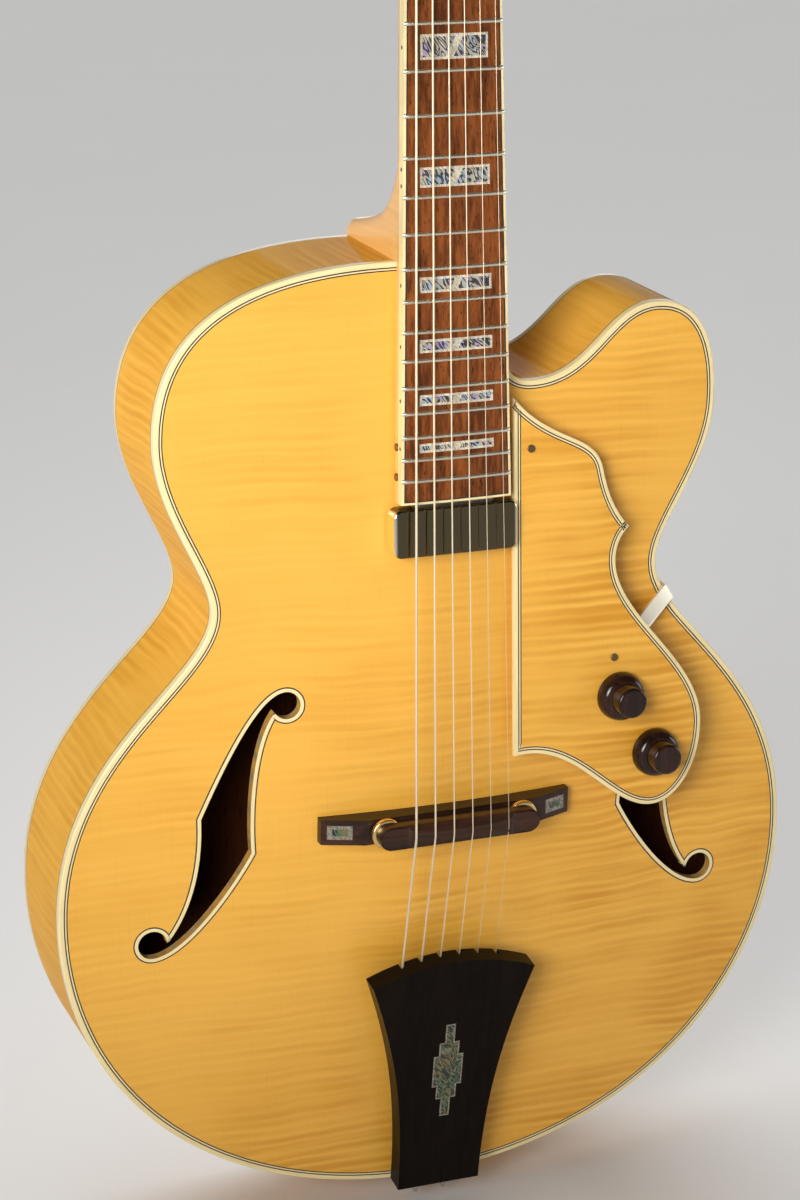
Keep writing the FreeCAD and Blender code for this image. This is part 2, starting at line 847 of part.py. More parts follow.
# Fingerboard
def make_fingerboard():
    """Fingerboard with its binding, frets, block inlays and side dots."""
    whole = thick(board_plan(0), -1, board_thickness).common(camber(0))
    core = thick(board_plan(board_binding), -1, board_thickness).common(camber(0))
    rim = whole.cut(core)
    shell = camber(0).cut(camber(inlay_depth))
    frames = []
    panels = []
    pockets = []
    for space in inlay_spaces:
        high = -fret_place(space - 1)
        low = -fret_place(space)
        middle = (high + low) / 2
        half_long = ((high - low) * inlay_share_long - inlay_shortening) / 2
        half_wide = board_half(-middle) * inlay_share_wide
        pocket = shell.common(box(-half_wide, half_wide, -1, board_thickness,
                                  middle - half_long, middle + half_long))
        inner_long = half_long - inlay_frame
        inner_wide = half_wide - inlay_frame
        lean = inlay_slant * inner_long
        pair = []
        for sign in (-1, 1):
            plan = polygon([
                (sign * inner_wide, middle - inner_long), (sign * inner_wide, middle + inner_long),
                (sign * inlay_slash / 2 + lean, middle + inner_long),
                (sign * inlay_slash / 2 - lean, middle - inner_long)])
            pair.append(pocket.common(thick(plan, -1, board_thickness)))
        pockets.append(pocket)
        frames.append(pocket.cut(pair))
        panels.extend(pair)
    core = core.cut(pockets)
    dots = []
    for space in inlay_spaces:
        middle = (fret_place(space) + fret_place(space - 1)) / 2
        spread = (-dot_spacing / 2, dot_spacing / 2) if space == double_dot_space else (0,)
        for shift in spread:
            along = middle + shift
            start = Vector(-board_half(along) - dot_depth, dot_level, -along)
            dots.append(Part.makeCylinder(dot_radius, 2 * dot_depth, start, Vector(1, 0, 0)))
    dots = [dot.common(whole) for dot in dots]
    rim = rim.cut(dots)
    wire_shell = camber(-fret_height).cut(camber(0))
    frets = []
    for fret in range(1, fret_count + 1):
        down = fret_place(fret)
        half = board_half(down)
        strip = box(-half, half, -2 * fret_height, board_thickness,
                    -down - fret_width / 2, -down + fret_width / 2)
        frets.append(wire_shell.common(strip))
    save("fingerboard", place(core, neck_frame))
    save("fingerboard_binding", place(rim, neck_frame))
    save("frets", *[place(fret, neck_frame) for fret in frets])
    save("position_inlays", *[place(frame, neck_frame) for frame in frames])
    save("inlay_panels", *[place(panel, neck_frame) for panel in panels])
    save("side_dots", *[place(dot, neck_frame) for dot in dots])


# Strings
def string_spot(number, spread):
    """Sideways place of a string in a set of six spread evenly."""
    return spread * (number / 5 - 0.5)


def string_points(number):
    """Post, nut, saddle and tailpiece points of one string's centre line."""
    radius = string_diameters[number] / 2
    sign, post_z = tuner_places()[number]
    nut_x = string_spot(number, nut_spread)
    saddle_x = string_spot(number, saddle_spread)
    inner = sign * (tuner_x - post_radius - radius - string_gap)
    post = head_frame.multVec(Vector(inner, -string_over_head, post_z))
    nut_level = nut_x ** 2 / (2 * board_radius) - nut_action - radius
    nut_point = neck_frame.multVec(Vector(nut_x, nut_level, nut_thickness / 2))
    saddle_level = saddle_x ** 2 / (2 * board_radius) - saddle_action - radius
    saddle_point = neck_frame.multVec(Vector(saddle_x, saddle_level, -saddle_place))
    tail_x = string_spot(number, tail_spread)
    entry = tailpiece_thickness - slot_depth / 2
    crown = crown_place(tail_x)
    anchor = tail_frame.multVec(Vector(tail_x, entry, crown - slot_length + ball_radius + ball_gap))
    return [post, nut_point, saddle_point, anchor]


def string_solid(number, grow):
    """One string as a tube along straight runs, and the barrel at its tail end."""
    points = string_points(number)
    radius = string_diameters[number] / 2 + grow
    section = Part.Wire([Part.makeCircle(radius, points[0], points[1] - points[0])])
    mitred = 1
    tube = Part.makePolygon(points).makePipeShell([section], True, False, mitred)
    end = points[-1]
    barrel = Part.makeCylinder(ball_radius + grow, ball_length,
                               end - Vector(ball_length / 2, 0, 0), Vector(1, 0, 0))
    return tube.fuse(barrel)


def nut_blank():
    """The nut before its grooves are cut, in the neck's frame."""
    return box(-nut_width / 2, nut_width / 2, -nut_height, board_thickness, 0, nut_thickness)


def make_strings():
    """The six strings and the grooved nut that spaces them."""
    save("strings", *[string_solid(number, 0) for number in range(6)])
    grooves = [string_solid(number, string_gap) for number in range(6)]
    save("nut", place(nut_blank(), neck_frame).cut(grooves))


# Tuners
def make_tuners():
    """Six sealed worm tuners: housings, bushings, posts with their wheels, and buttons with their worms."""
    worm_level = head_back + housing_wall + wheel_floor_gap + wheel_thickness / 2
    worm_drop = wheel_radius + worm_radius + gear_gap
    housings = []
    bushings = []
    for number, (sign, z) in enumerate(tuner_places(), start=1):
        x = sign * tuner_x
        low = z - worm_drop - worm_radius - housing_room - housing_wall
        high = z + wheel_radius + housing_room + housing_wall
        shell = box(x - housing_half_x, x + housing_half_x, head_back, head_back + housing_depth, low, high)
        wall = housing_wall
        room = box(x - housing_half_x + wall, x + housing_half_x - wall, head_back + wall,
                   head_back + housing_depth - wall, low + wall, high - wall)
        worm_z = z - worm_drop
        outward = Vector(sign, 0, 0)
        wall_start = Vector(x, worm_level, worm_z)
        shaft_hole = Part.makeCylinder(shaft_radius + shaft_running_fit, 2 * housing_half_x,
                                       wall_start, outward)
        post_hole = pillar(post_radius + post_running_fit, x, z, head_back - 1, head_back + 2 * wall)
        ear = box(x - ear_half_width, x + ear_half_width, head_back, head_back + ear_thickness,
                  high, high + ear_length)
        housing = shell.cut([room, shaft_hole, post_hole]).fuse(ear).removeSplitter()
        housings.append(place(housing, head_frame).cut(small_screws))

        flange = pillar(bushing_flange_radius, x, z, -bushing_flange, 0)
        sleeve = pillar(bushing_sleeve_radius, x, z, 0, bushing_sleeve_length)
        bore = pillar(post_radius + post_running_fit, x, z, -2 * bushing_flange, 2 * bushing_sleeve_length)
        bushings.append(place(flange.fuse(sleeve).cut(bore).removeSplitter(), head_frame))

        wheel_low = worm_level - wheel_thickness / 2
        post = pillar(post_radius, x, z, -post_reach, worm_level)
        wheel = pillar(wheel_radius, x, z, wheel_low, wheel_low + wheel_thickness)
        string_hole = Part.makeCylinder(post_hole_radius, 4 * post_radius,
                                        Vector(x - 2 * post_radius, -string_over_head, z), Vector(1, 0, 0))
        save("tuner_post_%d" % number, place(post.fuse(wheel).cut(string_hole), head_frame))

        worm_start = Vector(x - sign * worm_length / 2, worm_level, worm_z)
        worm = Part.makeCylinder(worm_radius, worm_length, worm_start, outward)
        shaft = Part.makeCylinder(shaft_radius, button_start + button_half_x, wall_start, outward)
        middle = x + sign * (button_start + button_half_x)
        centre = Vector(middle, 0, worm_z)
        oval = Part.Ellipse(centre + Vector(button_half_x, 0, 0), centre + Vector(0, 0, button_half_z), centre)
        plan = Part.Face(Part.Wire([oval.toShape()]))
        grip = thick(plan, worm_level - button_thickness / 2, worm_level + button_thickness / 2)
        grip = grip.makeFillet(button_edge, grip.Edges)
        button = grip.fuse([shaft, worm]).removeSplitter()
        save("tuner_button_%d" % number, place(button, head_frame))
    save("tuner_housings", *housings)
    save("tuner_bushings", *bushings)


# Bridge
def make_bridge():
    """Bridge base fitted to the top, its inlays, studs, thumbwheels and the saddle that they carry."""
    middle = crest.z
    low = middle - bridge_width / 2
    flat_y = top_height(0, middle) - bridge_base_rise
    end_y = top_height(bridge_half_length, middle) - bridge_end_rise
    side = Part.makePolygon([
        Vector(-bridge_half_length, front_edge, low), Vector(-bridge_half_length, end_y, low),
        Vector(-bridge_flat_half, flat_y, low), Vector(bridge_flat_half, flat_y, low),
        Vector(bridge_half_length, end_y, low), Vector(bridge_half_length, front_edge, low),
        Vector(-bridge_half_length, front_edge, low)])
    base = Part.Face(side).extrude(Vector(0, 0, bridge_width)).cut(behind_top)

    slope = math.atan2(flat_y - end_y, bridge_half_length - bridge_flat_half)
    frames = []
    for sign in (-1, 1):
        share = (bridge_inlay_x - bridge_flat_half) / (bridge_half_length - bridge_flat_half)
        level = flat_y + (end_y - flat_y) * share
        spot = Placement(Vector(sign * bridge_inlay_x, level, middle),
                         Rotation(Vector(0, 0, 1), -sign * math.degrees(slope)))
        long_half = bridge_inlay_long / 2
        wide_half = bridge_inlay_wide / 2
        outer = box(-long_half, long_half, 0, inlay_depth, -wide_half, wide_half)
        frames.append(place(outer, spot))
    base = base.cut(frames)

    saddle_floor = crest.y + saddle_lift
    wheel_floor = saddle_floor + wheel_height
    stud_tip = crest.y + stud_tip_drop
    studs = []
    for sign in (-1, 1):
        studs.append(pillar(stud_radius, sign * stud_x, middle, stud_tip, flat_y + stud_seat))
    base = base.cut(studs)
    save("bridge_base", base)
    save("bridge_inlays", *frames)
    save("bridge_studs", *studs)
    for name, sign in (("bridge_wheel_bass", -1), ("bridge_wheel_treble", 1)):
        wheel = pillar(wheel_rim_radius, sign * stud_x, middle, saddle_floor, wheel_floor)
        bore = pillar(stud_radius + wheel_running_fit, sign * stud_x, middle, stud_tip, flat_y)
        save(name, wheel.cut(bore))

    half = saddle_width / 2
    crest_half = saddle_crest_width / 2
    end_level = crest.y + saddle_end_drop
    bar = box(-stud_x, stud_x, end_level, saddle_floor, middle - half, middle + half)
    ends = [pillar(half, sign * stud_x, middle, end_level, saddle_floor) for sign in (-1, 1)]
    crown_half = saddle_spread / 2 + saddle_crown_margin

    def level_loop(half_x, y, half_z):
        corners = [(-half_x, -half_z), (half_x, -half_z), (half_x, half_z), (-half_x, half_z)]
        return Part.makePolygon([Vector(x, y, middle + z) for x, z in corners], True)

    roof = Part.makeLoft([level_loop(crown_half, end_level, half),
                          level_loop(crown_half - saddle_crown_bevel, crest.y, crest_half)], True, True)
    saddle = bar.fuse(ends + [roof]).removeSplitter()
    holes = [pillar(stud_radius + stud_clearance, sign * stud_x, middle, end_level - 1, saddle_floor + 1)
             for sign in (-1, 1)]
    grooves = [string_solid(number, string_gap) for number in range(6)]
    save("bridge_saddle", saddle.cut(holes + grooves))


# Tailpiece
def crown_place(x):
    """Height of the tailpiece's curved upper end at a sideways place, in its own frame."""
    return tailpiece_length - tailpiece_crown_drop * (x / tailpiece_crown_half) ** 2


def tailpiece_plan():
    """Flared plan of the tailpiece with a curved upper end."""
    corner = tailpiece_length - tailpiece_crown_drop
    crown_control = tailpiece_length + tailpiece_crown_drop / 3
    edges = [line((-tailpiece_tail_half, 0), (tailpiece_tail_half, 0))]
    for sign in (-1, 1):
        edges.append(curve([
            (sign * tailpiece_tail_half, 0), (sign * tailpiece_tail_half, tailpiece_side_low_z),
            (sign * tailpiece_side_half, tailpiece_side_high_z), (sign * tailpiece_crown_half, corner)]))
    edges.append(curve([(-tailpiece_crown_half, corner), (-tailpiece_crown_half / 3, crown_control),
                        (tailpiece_crown_half / 3, crown_control), (tailpiece_crown_half, corner)]))
    return flat_face(edges)


def ornament_plan():
    """Stepped lozenge of the tailpiece ornament: bars of rising width and falling length as one outline."""
    corners = []
    for step, (half_width, half_long) in enumerate(ornament_steps):
        if step:
            corners.append((ornament_steps[step - 1][0], half_long))
        corners.append((half_width, half_long))
    right = corners + [(x, -z) for x, z in reversed(corners)]
    left = [(-x, -z) for x, z in right]
    return polygon([(x, z + ornament_middle) for x, z in right + left])


def make_tailpiece():
    """Tailpiece, its ornament, the cable loop to the end pin and the block that the cable rides over."""
    ornament = thick(ornament_plan(), 0, ornament_depth)
    blank = thick(tailpiece_plan(), 0, tailpiece_thickness).cut(ornament)
    cuts = []
    for number in range(6):
        x = string_spot(number, tail_spread)
        top = crown_place(x)
        floor = tailpiece_thickness - slot_depth
        below = tailpiece_thickness + slot_depth
        foot = top - slot_length
        half = ball_length / 2 + ball_gap
        cuts.append(box(x - slot_width / 2, x + slot_width / 2, floor, below,
                        foot, top + tailpiece_crown_drop))
        cuts.append(box(x - half, x + half, floor, below, foot, foot + 2 * (ball_radius + ball_gap)))
    runs = []
    for sign in (-1, 1):
        start = tail_frame.multVec(Vector(sign * cable_half_spacing, tailpiece_thickness / 2, cable_anchor))
        edge = Vector(sign * cable_half_spacing, front_edge - saddle_block_height - cable_radius,
                      -cable_radius)
        side = Vector(sign * cable_half_spacing, 0, -cable_z)
        corner = Vector(sign * cable_half_spacing, front_edge - saddle_block_height, -cable_z)
        runs.append([rod(cable_radius, start, edge), Part.makeSphere(cable_radius, edge),
                     rod(cable_radius, edge, corner), Part.makeSphere(cable_radius, corner),
                     rod(cable_radius, corner, side)])
    loop = Part.makeTorus(cable_half_spacing, cable_radius, Vector(0, 0, -cable_z), Vector(0, 0, 1))
    loop = loop.common(box(-2 * cable_half_spacing, 2 * cable_half_spacing, 0, 2 * cable_half_spacing,
                           -cable_z - 2 * cable_radius, -cable_z + 2 * cable_radius))
    cable = loop.fuse(runs[0] + runs[1])
    save("tail_cable", cable)
    save("tailpiece", place(blank.cut(cuts), tail_frame).cut(cable))
    save("tailpiece_inlay", place(ornament, tail_frame))
    save("tail_saddle", tail_saddle.cut(cable))


cable_z = jack_collar + jack_waist_length / 2
tail_saddle = box(-saddle_block_half, saddle_block_half, front_edge - saddle_block_height,
                  front_edge + saddle_block_depth, 0, binding_width + purfling_width + 2)


def make_jack():
    """Output jack shaped like an end pin, with a grooved waist that carries the strap and the tail cable."""
    top = jack_barrel_length
    collar = -jack_collar
    waist_end = collar - jack_waist_length
    end = waist_end - jack_end
    profile = [
        (jack_bore_radius, top), (jack_barrel_radius, top), (jack_barrel_radius, 0), (jack_collar_radius, 0),
        (jack_collar_radius, collar), (jack_waist_radius, collar), (jack_waist_radius, waist_end),
        (jack_end_radius, waist_end), (jack_end_radius, end), (jack_bore_radius, end)]
    save("output_jack", polygon(profile).revolve(Vector(0, 0, 0), Vector(0, 0, 1), 360))


# Pickguard
def guard_curves():
    """Outline of the pickguard in the neck's frame, from its tip round to its lower corner."""
    stops = [(guard_edge_x, guard_tip_z), guard_shoulder, guard_point, guard_waist, guard_bulge, guard_bottom,
             (guard_edge_x, guard_corner_z)]
    handles = [guard_tip_handles, guard_shoulder_handles, guard_point_handles, guard_waist_handles,
               guard_bulge_handles, guard_bottom_handles]
    curves = []
    for (ax, az), (bx, bz), (leave, arrive) in zip(stops, stops[1:], handles):
        curves.append([(ax, az), (ax + leave[0], az + leave[1]), (bx + arrive[0], bz + arrive[1]), (bx, bz)])
    return curves


def control_holes():
    """Holes of the pickguard for the two potentiometers."""
    return [pillar(pot_bushing_radius, x, z, 0, 2 * guard_bottom_face) for x, z in (volume_place, tone_place)]


def make_guard():
    """Pickguard with bound edge, the block under its tip and the strap that holds it at the waist."""
    curves = guard_curves()
    tip = curves[0][0]
    corner = curves[-1][-1]
    edges = [curve(points) for points in curves] + [line(corner, tip)]
    whole = thick(flat_face(edges), guard_top, guard_bottom_face)
    strips = [thick(band(points, guard_binding, 1), guard_top, guard_bottom_face) for points in curves]
    strips.append(box(tip[0], tip[0] + guard_binding, guard_top, guard_bottom_face, corner[1], tip[1]))
    core = whole.cut(strips)
    save("pickguard", place(core.cut(control_holes()), neck_frame).cut(small_screws))
    save("pickguard_binding", place(whole.cut(core), neck_frame))

    x, z = guard_screws[0]
    half = guard_block_half
    tall_block = box(x - half, x + half, guard_bottom_face, 4 * guard_bottom_face, z - half, z + half)
    block = place(tall_block, neck_frame)
    save("guard_block", block.cut([behind_top] + small_screws))

    x, z = guard_screws[1]
    start = neck_frame.multVec(Vector(x, guard_bottom_face, z))
    level = Vector(start.x, 0, start.z)
    reach, spots, _ = outline(0).distToShape(Part.Vertex(level))
    heading = spots[0][0].sub(level)
    angle = math.atan2(heading.z, heading.x)
    rise = front_edge - start.y
    lean = math.tan(slant) * math.sin(angle)
    t = strap_thickness
    inner = reach + strap_gap
    edge_level = rise - strap_gap
    bend_level = strap_bend * lean
    slope = math.atan2(edge_level - bend_level, inner - strap_bend)
    upper_miter = t * math.tan(slope / 2)
    edge_miter = t * math.tan(math.pi / 4 - slope / 2)
    profile = [
        (-strap_width, -t), (strap_bend + upper_miter, -t), (strap_bend + upper_miter, bend_level),
        (inner + t, edge_level - edge_miter), (inner + t, rise + strap_grip), (inner, rise + strap_grip),
        (inner, edge_level), (strap_bend, bend_level + t), (-strap_width, t - strap_width * lean)]
    loop = [Vector(u, v, 0) for u, v in profile]
    strip = Part.Face(Part.makePolygon(loop + [loop[0]])).extrude(Vector(0, 0, strap_width))
    strip.translate(Vector(0, 0, -strap_width / 2))
    strap = place(strip, Placement(start, Rotation(Vector(0, 1, 0), -math.degrees(angle))))
    guard_layer = box(0, lower_bout, -guard_bottom_face, guard_bottom_face, -scale_length - lower_bout, 0)
    save("pickguard_bracket", strap.cut([place(guard_layer, neck_frame)] + small_screws))


# Pickup
pickup_high = -board_length - pickup_gap
pickup_low = pickup_high - pickup_width
pickup_floor = pickup_drop + pickup_height


def pickup_rods():
    """The two rods that carry the pickup inside the neck extension."""
    level = board_thickness + extension_depth / 2
    rods = []
    for sign in (-1, 1):
        start = Vector(sign * rod_x, level, pickup_high)
        rods.append(place(rod(rod_radius, start, start + Vector(0, 0, rod_length)), neck_frame))
    return rods


def make_pickup():
    """Floating pickup: bright cover, two coils, base plate and the bracket with its rods."""
    half = pickup_length / 2
    shell = box(-half, half, pickup_drop, pickup_floor, pickup_low, pickup_high)
    upright = [edge for edge in shell.Edges if abs(edge.tangentAt(edge.FirstParameter).y) > 0.9]
    shell = shell.makeFillet(pickup_corner, upright)
    front = [edge for edge in shell.Edges if edge.BoundBox.YMax < pickup_drop + 0.01]
    shell = shell.makeFillet(pickup_edge, front)
    wall = pickup_wall
    room = box(-half + wall, half - wall, pickup_drop + wall, pickup_floor + 1,
               pickup_low + wall, pickup_high - wall)
    upright = [edge for edge in room.Edges if abs(edge.tangentAt(edge.FirstParameter).y) > 0.9]
    room = room.makeFillet(pickup_corner - wall, upright)
    save("pickup_cover", place(shell.cut(room), neck_frame))
    base_top = pickup_floor - base_thickness
    base = room.common(box(-half, half, base_top, pickup_floor, pickup_low, pickup_high))
    middle = (pickup_low + pickup_high) / 2
    coils = []
    for sign in (-1, 1):
        z = middle + sign * (coil_half_wide + coil_gap / 2)
        block = box(-coil_half_long, coil_half_long, base_top - coil_height, base_top, z - coil_half_wide,
                    z + coil_half_wide)
        coils.append(place(block, neck_frame))
    save("pickup_coils", *coils)
    plate = box(-rod_x - 2 * rod_radius, rod_x + 2 * rod_radius, board_thickness, pickup_floor - bracket_lift,
                pickup_high, -board_length)
    bracket = place(plate, neck_frame).fuse(pickup_rods()).removeSplitter()
    save("pickup_mounting", place(base, neck_frame), bracket)


# Controls
def make_controls():
    """Volume and tone potentiometers under the pickguard, their knobs and the tone capacitor."""
    bodies = []
    for name, (x, z) in (("volume_knob", volume_place), ("tone_knob", tone_place)):
        can_end = guard_bottom_face + pot_depth
        can = pillar(pot_radius, x, z, guard_bottom_face, can_end)
        bushing = pillar(pot_bushing_radius, x, z, guard_top - pot_nut_height, guard_bottom_face)
        nut = pillar(pot_nut_radius, x, z, guard_top - pot_nut_height, guard_top)
        shaft_end = can_end - pot_floor
        bore = pillar(pot_shaft_radius + pot_running_fit, x, z, 0, shaft_end + pot_end_gap)
        bodies.append(place(can.fuse([bushing, nut]).cut(bore).removeSplitter(), neck_frame))
        floor = guard_top - knob_gap
        top = floor - knob_height
        shoulder = floor - knob_skirt_height
        rim = floor - knob_rim
        ceiling = floor - knob_hollow_depth
        edges = [
            line((0, top), (knob_cap_radius - knob_edge, top)),
            line((knob_cap_radius - knob_edge, top), (knob_cap_radius, top + knob_edge)),
            line((knob_cap_radius, top + knob_edge), (knob_cap_radius, shoulder)),
            curve([(knob_cap_radius, shoulder), (knob_bulge[0], shoulder + knob_bulge[1]),
                   (knob_skirt_radius, rim - knob_skirt_handle), (knob_skirt_radius, rim)]),
            line((knob_skirt_radius, rim), (knob_skirt_radius, floor)),
            line((knob_skirt_radius, floor), (knob_hollow_radius, floor)),
            line((knob_hollow_radius, floor), (knob_hollow_radius, ceiling)),
            line((knob_hollow_radius, ceiling), (pot_shaft_radius, ceiling)),
            line((pot_shaft_radius, ceiling), (pot_shaft_radius, shaft_end)),
            line((pot_shaft_radius, shaft_end), (0, shaft_end)),
            line((0, shaft_end), (0, top)),
        ]
        knob = flat_face(edges).revolve(Vector(0, 0, 0), Vector(0, 0, 1), 360)
        turned = place(knob, Placement(Vector(x, 0, z), Rotation(Vector(1, 0, 0), -90)))
        save(name, place(turned, neck_frame))
    x, z = tone_place
    level = guard_bottom_face + pot_depth - capacitor_radius
    start = Vector(x - pot_radius - capacitor_radius, level, z - capacitor_length / 2)
    capacitor = Part.makeCylinder(capacitor_radius, capacitor_length, start, Vector(0, 0, 1))
    save("control_pots", *bodies, place(capacitor, neck_frame))


# Screws that share one size
def all_screws():
    """Screws of the truss rod cover, pickup rods, pickguard and tuner ears."""
    screws = []
    for x, z in cover_screws:
        start = Vector(x, -cover_thickness, cover_start + z)
        screws.append(place(screw_along(start, Vector(0, 1, 0)), head_frame))
    level = board_thickness + extension_depth / 2
    for down in [board_length - rise for rise in rod_screws]:
        start = Vector(-board_half(down) + extension_inset, level, -down)
        screws.append(place(screw_along(start, Vector(1, 0, 0)), neck_frame))
    for x, z in guard_screws:
        screws.append(place(screw_along(Vector(x, guard_top, z), Vector(0, 1, 0)), neck_frame))
    for sign, z in tuner_places():
        high = z + wheel_radius + housing_room + housing_wall + ear_length / 2
        start = Vector(sign * tuner_x, head_back + ear_thickness, high)
        screws.append(place(screw_along(start, Vector(0, -1, 0)), head_frame))
    return screws


small_screws = all_screws()
save("small_screws", *small_screws)
make_sound_box()
make_neck()
make_fingerboard()
make_strings()
make_tuners()
make_bridge()
make_tailpiece()
make_jack()
make_guard()
make_pickup()
make_controls()
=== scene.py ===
"""Archtop guitar with one rounded cutaway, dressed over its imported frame.

Shapes are worked out in millimetres in the frame's own axes and become metres when a mesh is made:
X points to the treble side, Y points into the body and Z points up the neck. Plans are pairs (x, z).
"""

import math

import bmesh
import bpy
import numpy as np
from mathutils import Matrix, Vector
from mathutils.geometry import delaunay_2d_cdt


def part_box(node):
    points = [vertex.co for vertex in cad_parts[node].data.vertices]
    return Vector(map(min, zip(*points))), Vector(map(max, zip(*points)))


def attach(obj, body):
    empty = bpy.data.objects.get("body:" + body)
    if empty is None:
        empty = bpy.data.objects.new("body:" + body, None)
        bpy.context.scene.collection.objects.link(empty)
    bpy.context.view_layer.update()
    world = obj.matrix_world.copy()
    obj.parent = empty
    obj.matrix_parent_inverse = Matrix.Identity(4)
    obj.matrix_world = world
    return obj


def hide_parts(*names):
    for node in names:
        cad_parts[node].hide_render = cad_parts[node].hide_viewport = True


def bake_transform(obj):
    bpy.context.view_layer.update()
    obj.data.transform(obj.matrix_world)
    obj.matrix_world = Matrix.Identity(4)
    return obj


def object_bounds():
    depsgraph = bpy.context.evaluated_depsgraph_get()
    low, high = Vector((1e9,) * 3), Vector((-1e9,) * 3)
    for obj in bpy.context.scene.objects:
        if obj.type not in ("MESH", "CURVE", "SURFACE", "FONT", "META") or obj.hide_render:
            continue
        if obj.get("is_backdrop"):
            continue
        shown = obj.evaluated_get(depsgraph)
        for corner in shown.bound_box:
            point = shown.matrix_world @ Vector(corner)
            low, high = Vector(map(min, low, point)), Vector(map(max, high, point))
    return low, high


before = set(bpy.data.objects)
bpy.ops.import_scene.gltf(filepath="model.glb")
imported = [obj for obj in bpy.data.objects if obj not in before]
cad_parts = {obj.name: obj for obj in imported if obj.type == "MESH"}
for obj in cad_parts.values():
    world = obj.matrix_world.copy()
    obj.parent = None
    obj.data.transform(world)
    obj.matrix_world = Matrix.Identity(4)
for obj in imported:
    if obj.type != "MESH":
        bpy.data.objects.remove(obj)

bl_info = {
    "name": "Archtop guitar",
    "version": (1, 0, 0),
    "blender": (4, 5, 0),
    "location": "3D View > Sidebar > Guitar",
    "description": "Builds the finished surfaces of an archtop guitar over its packed frame",
    "category": "Add Mesh",
}

MM = 0.001
ROOT = "guitar"

# Body outline
BODY_LENGTH = 501.8
HALF_LOWER = 201.8
LOWER_Z = 176.0
HALF_WAIST = 121.0
BASS_WAIST_Z = 331.0
TREBLE_WAIST_Z = 335.0
HALF_UPPER = 150.5
UPPER_Z = 420.0
SHOULDER_X = 30.0
HORN_TOP = (116.0, 472.5)
CUTAWAY = (48.0, 436.7)
NECK_SIDE = (31.0, 458.0)
FRONT = -34.2
BACK = 34.2
PLATE = 5.0
RIM = 2.8
ARCH_HEIGHT = 14.0
CUTAWAY_RAMP = 70.0
# Lengths of the outline's handles before and after each stop
TAIL_PULL = 120
LOWER_PULL = (97, 92)
WAIST_PULL = (35, 21)
UPPER_PULL = (36, 66, 34)
SHOULDER_PULL = 61
HORN_PULL = (22, 28)
CUTAWAY_PULL = (34, 12)
NECK_PULL = 13

# Neck, strings and bridge
SCALE = 635.0
FRETS = 22
NUT_WIDTH = 42.9
BOARD_TAPER = 0.0334
BOARD_RADIUS = 305.0
BOARD_END = 468.8
SADDLE_PLACE = 639.6
CREST_RISE = 4.6
TUNER_X = 21.5
TUNER_ROWS = (50.0, 90.0, 130.0)
STUD_X = 37.4
CROWN_HALF = 45.0
TAIL_LENGTH = 138.5
CROWN_DROP = 9.5
NECK_ANGLE = -4.38
HEAD_ANGLE = -18.38
TAIL_ANGLE = 7.3


def turn_frame(origin, degrees):
    """A frame whose Y and Z axes are turned about X, as its origin and a matrix with its axes in rows."""
    a = math.radians(degrees)
    axes = [[1, 0, 0], [0, math.cos(a), math.sin(a)], [0, -math.sin(a), math.cos(a)]]
    return np.array(origin), np.array(axes)


def put(points, local):
    """Points of a local frame in the body's frame: origin plus each coordinate times its axis."""
    origin, axes = local
    return origin + np.asarray(points, float) @ axes


NECK = turn_frame((0.0, -18.873, 850.997), NECK_ANGLE)
HEAD = turn_frame(put((0.0, 4.4, 5.0), NECK), HEAD_ANGLE)
TAIL = turn_frame((0.0, -49.7, 2.0), TAIL_ANGLE)
BODY = turn_frame((0.0, 0.0, 0.0), 0.0)
CREST = put((0.0, -CREST_RISE, -SADDLE_PLACE), NECK)


# Settings that a user would change
def length(label, words, millimetres):
    """A size property in metres from a default in millimetres."""
    return bpy.props.FloatProperty(name=label, description=words, default=millimetres * MM, unit="LENGTH",
                                   precision=5)


def colour(label, words, rgb):
    """A colour property."""
    return bpy.props.FloatVectorProperty(name=label, description=words, default=rgb, size=3, min=0.0, max=1.0,
                                         subtype="COLOR")


def strength(label, words, value, unit="NONE"):
    """A strength of light, in watts where its unit is POWER."""
    return bpy.props.FloatProperty(name=label, description=words, default=value, unit=unit)


class BodySizes(bpy.types.PropertyGroup):
    """Sizes of the sound box and its trim."""
    binding: length("Binding", "Width of the cream edge seen from the front", 2.6)
    binding_round: length("Edge radius", "Rounding of the cream edge", 0.9)
    lines: length("Lines", "Width of the black and cream lines inside the edge", 2.0)
    hole_trim: length("Hole trim", "Width of the cream edge of a sound hole", 1.8)
    hole_line: length("Hole line", "Width of the black line around that edge", 0.7)


class NeckSizes(bpy.types.PropertyGroup):
    """Sizes of the fingerboard's trim and the strings."""
    fret_width: length("Fret width", "Width of a fret wire", 2.2)
    fret_height: length("Fret height", "Height of a fret wire", 1.1)
    board_binding: length("Board binding", "Width of the fingerboard's cream edge", 1.3)
    board_line: length("Board line", "Width of the black line inside that edge", 0.7)
    strings: bpy.props.FloatVectorProperty(
        name="Strings", description="Diameters from the bass side to the treble side", size=6, unit="LENGTH",
        precision=5, default=[MM * d for d in (1.32, 1.07, 0.81, 0.61, 0.41, 0.30)])


class FittingSizes(bpy.types.PropertyGroup):
    """Sizes of the bridge, tailpiece, pickguard, pickup and knobs."""
    guard_edge: length("Guard edge", "Width of the pickguard's cream edge", 2.0)
    guard_lines: length("Guard lines", "Width of the lines inside that edge", 1.9)
    ornament_border: length("Ornament border", "Width of the pearl line around the tailpiece ornament", 0.8)
    knob_skirt: length("Knob skirt", "Radius of a knob's skirt", 12.8)
    knob_cap: length("Knob cap", "Radius of a knob's cap", 8.0)


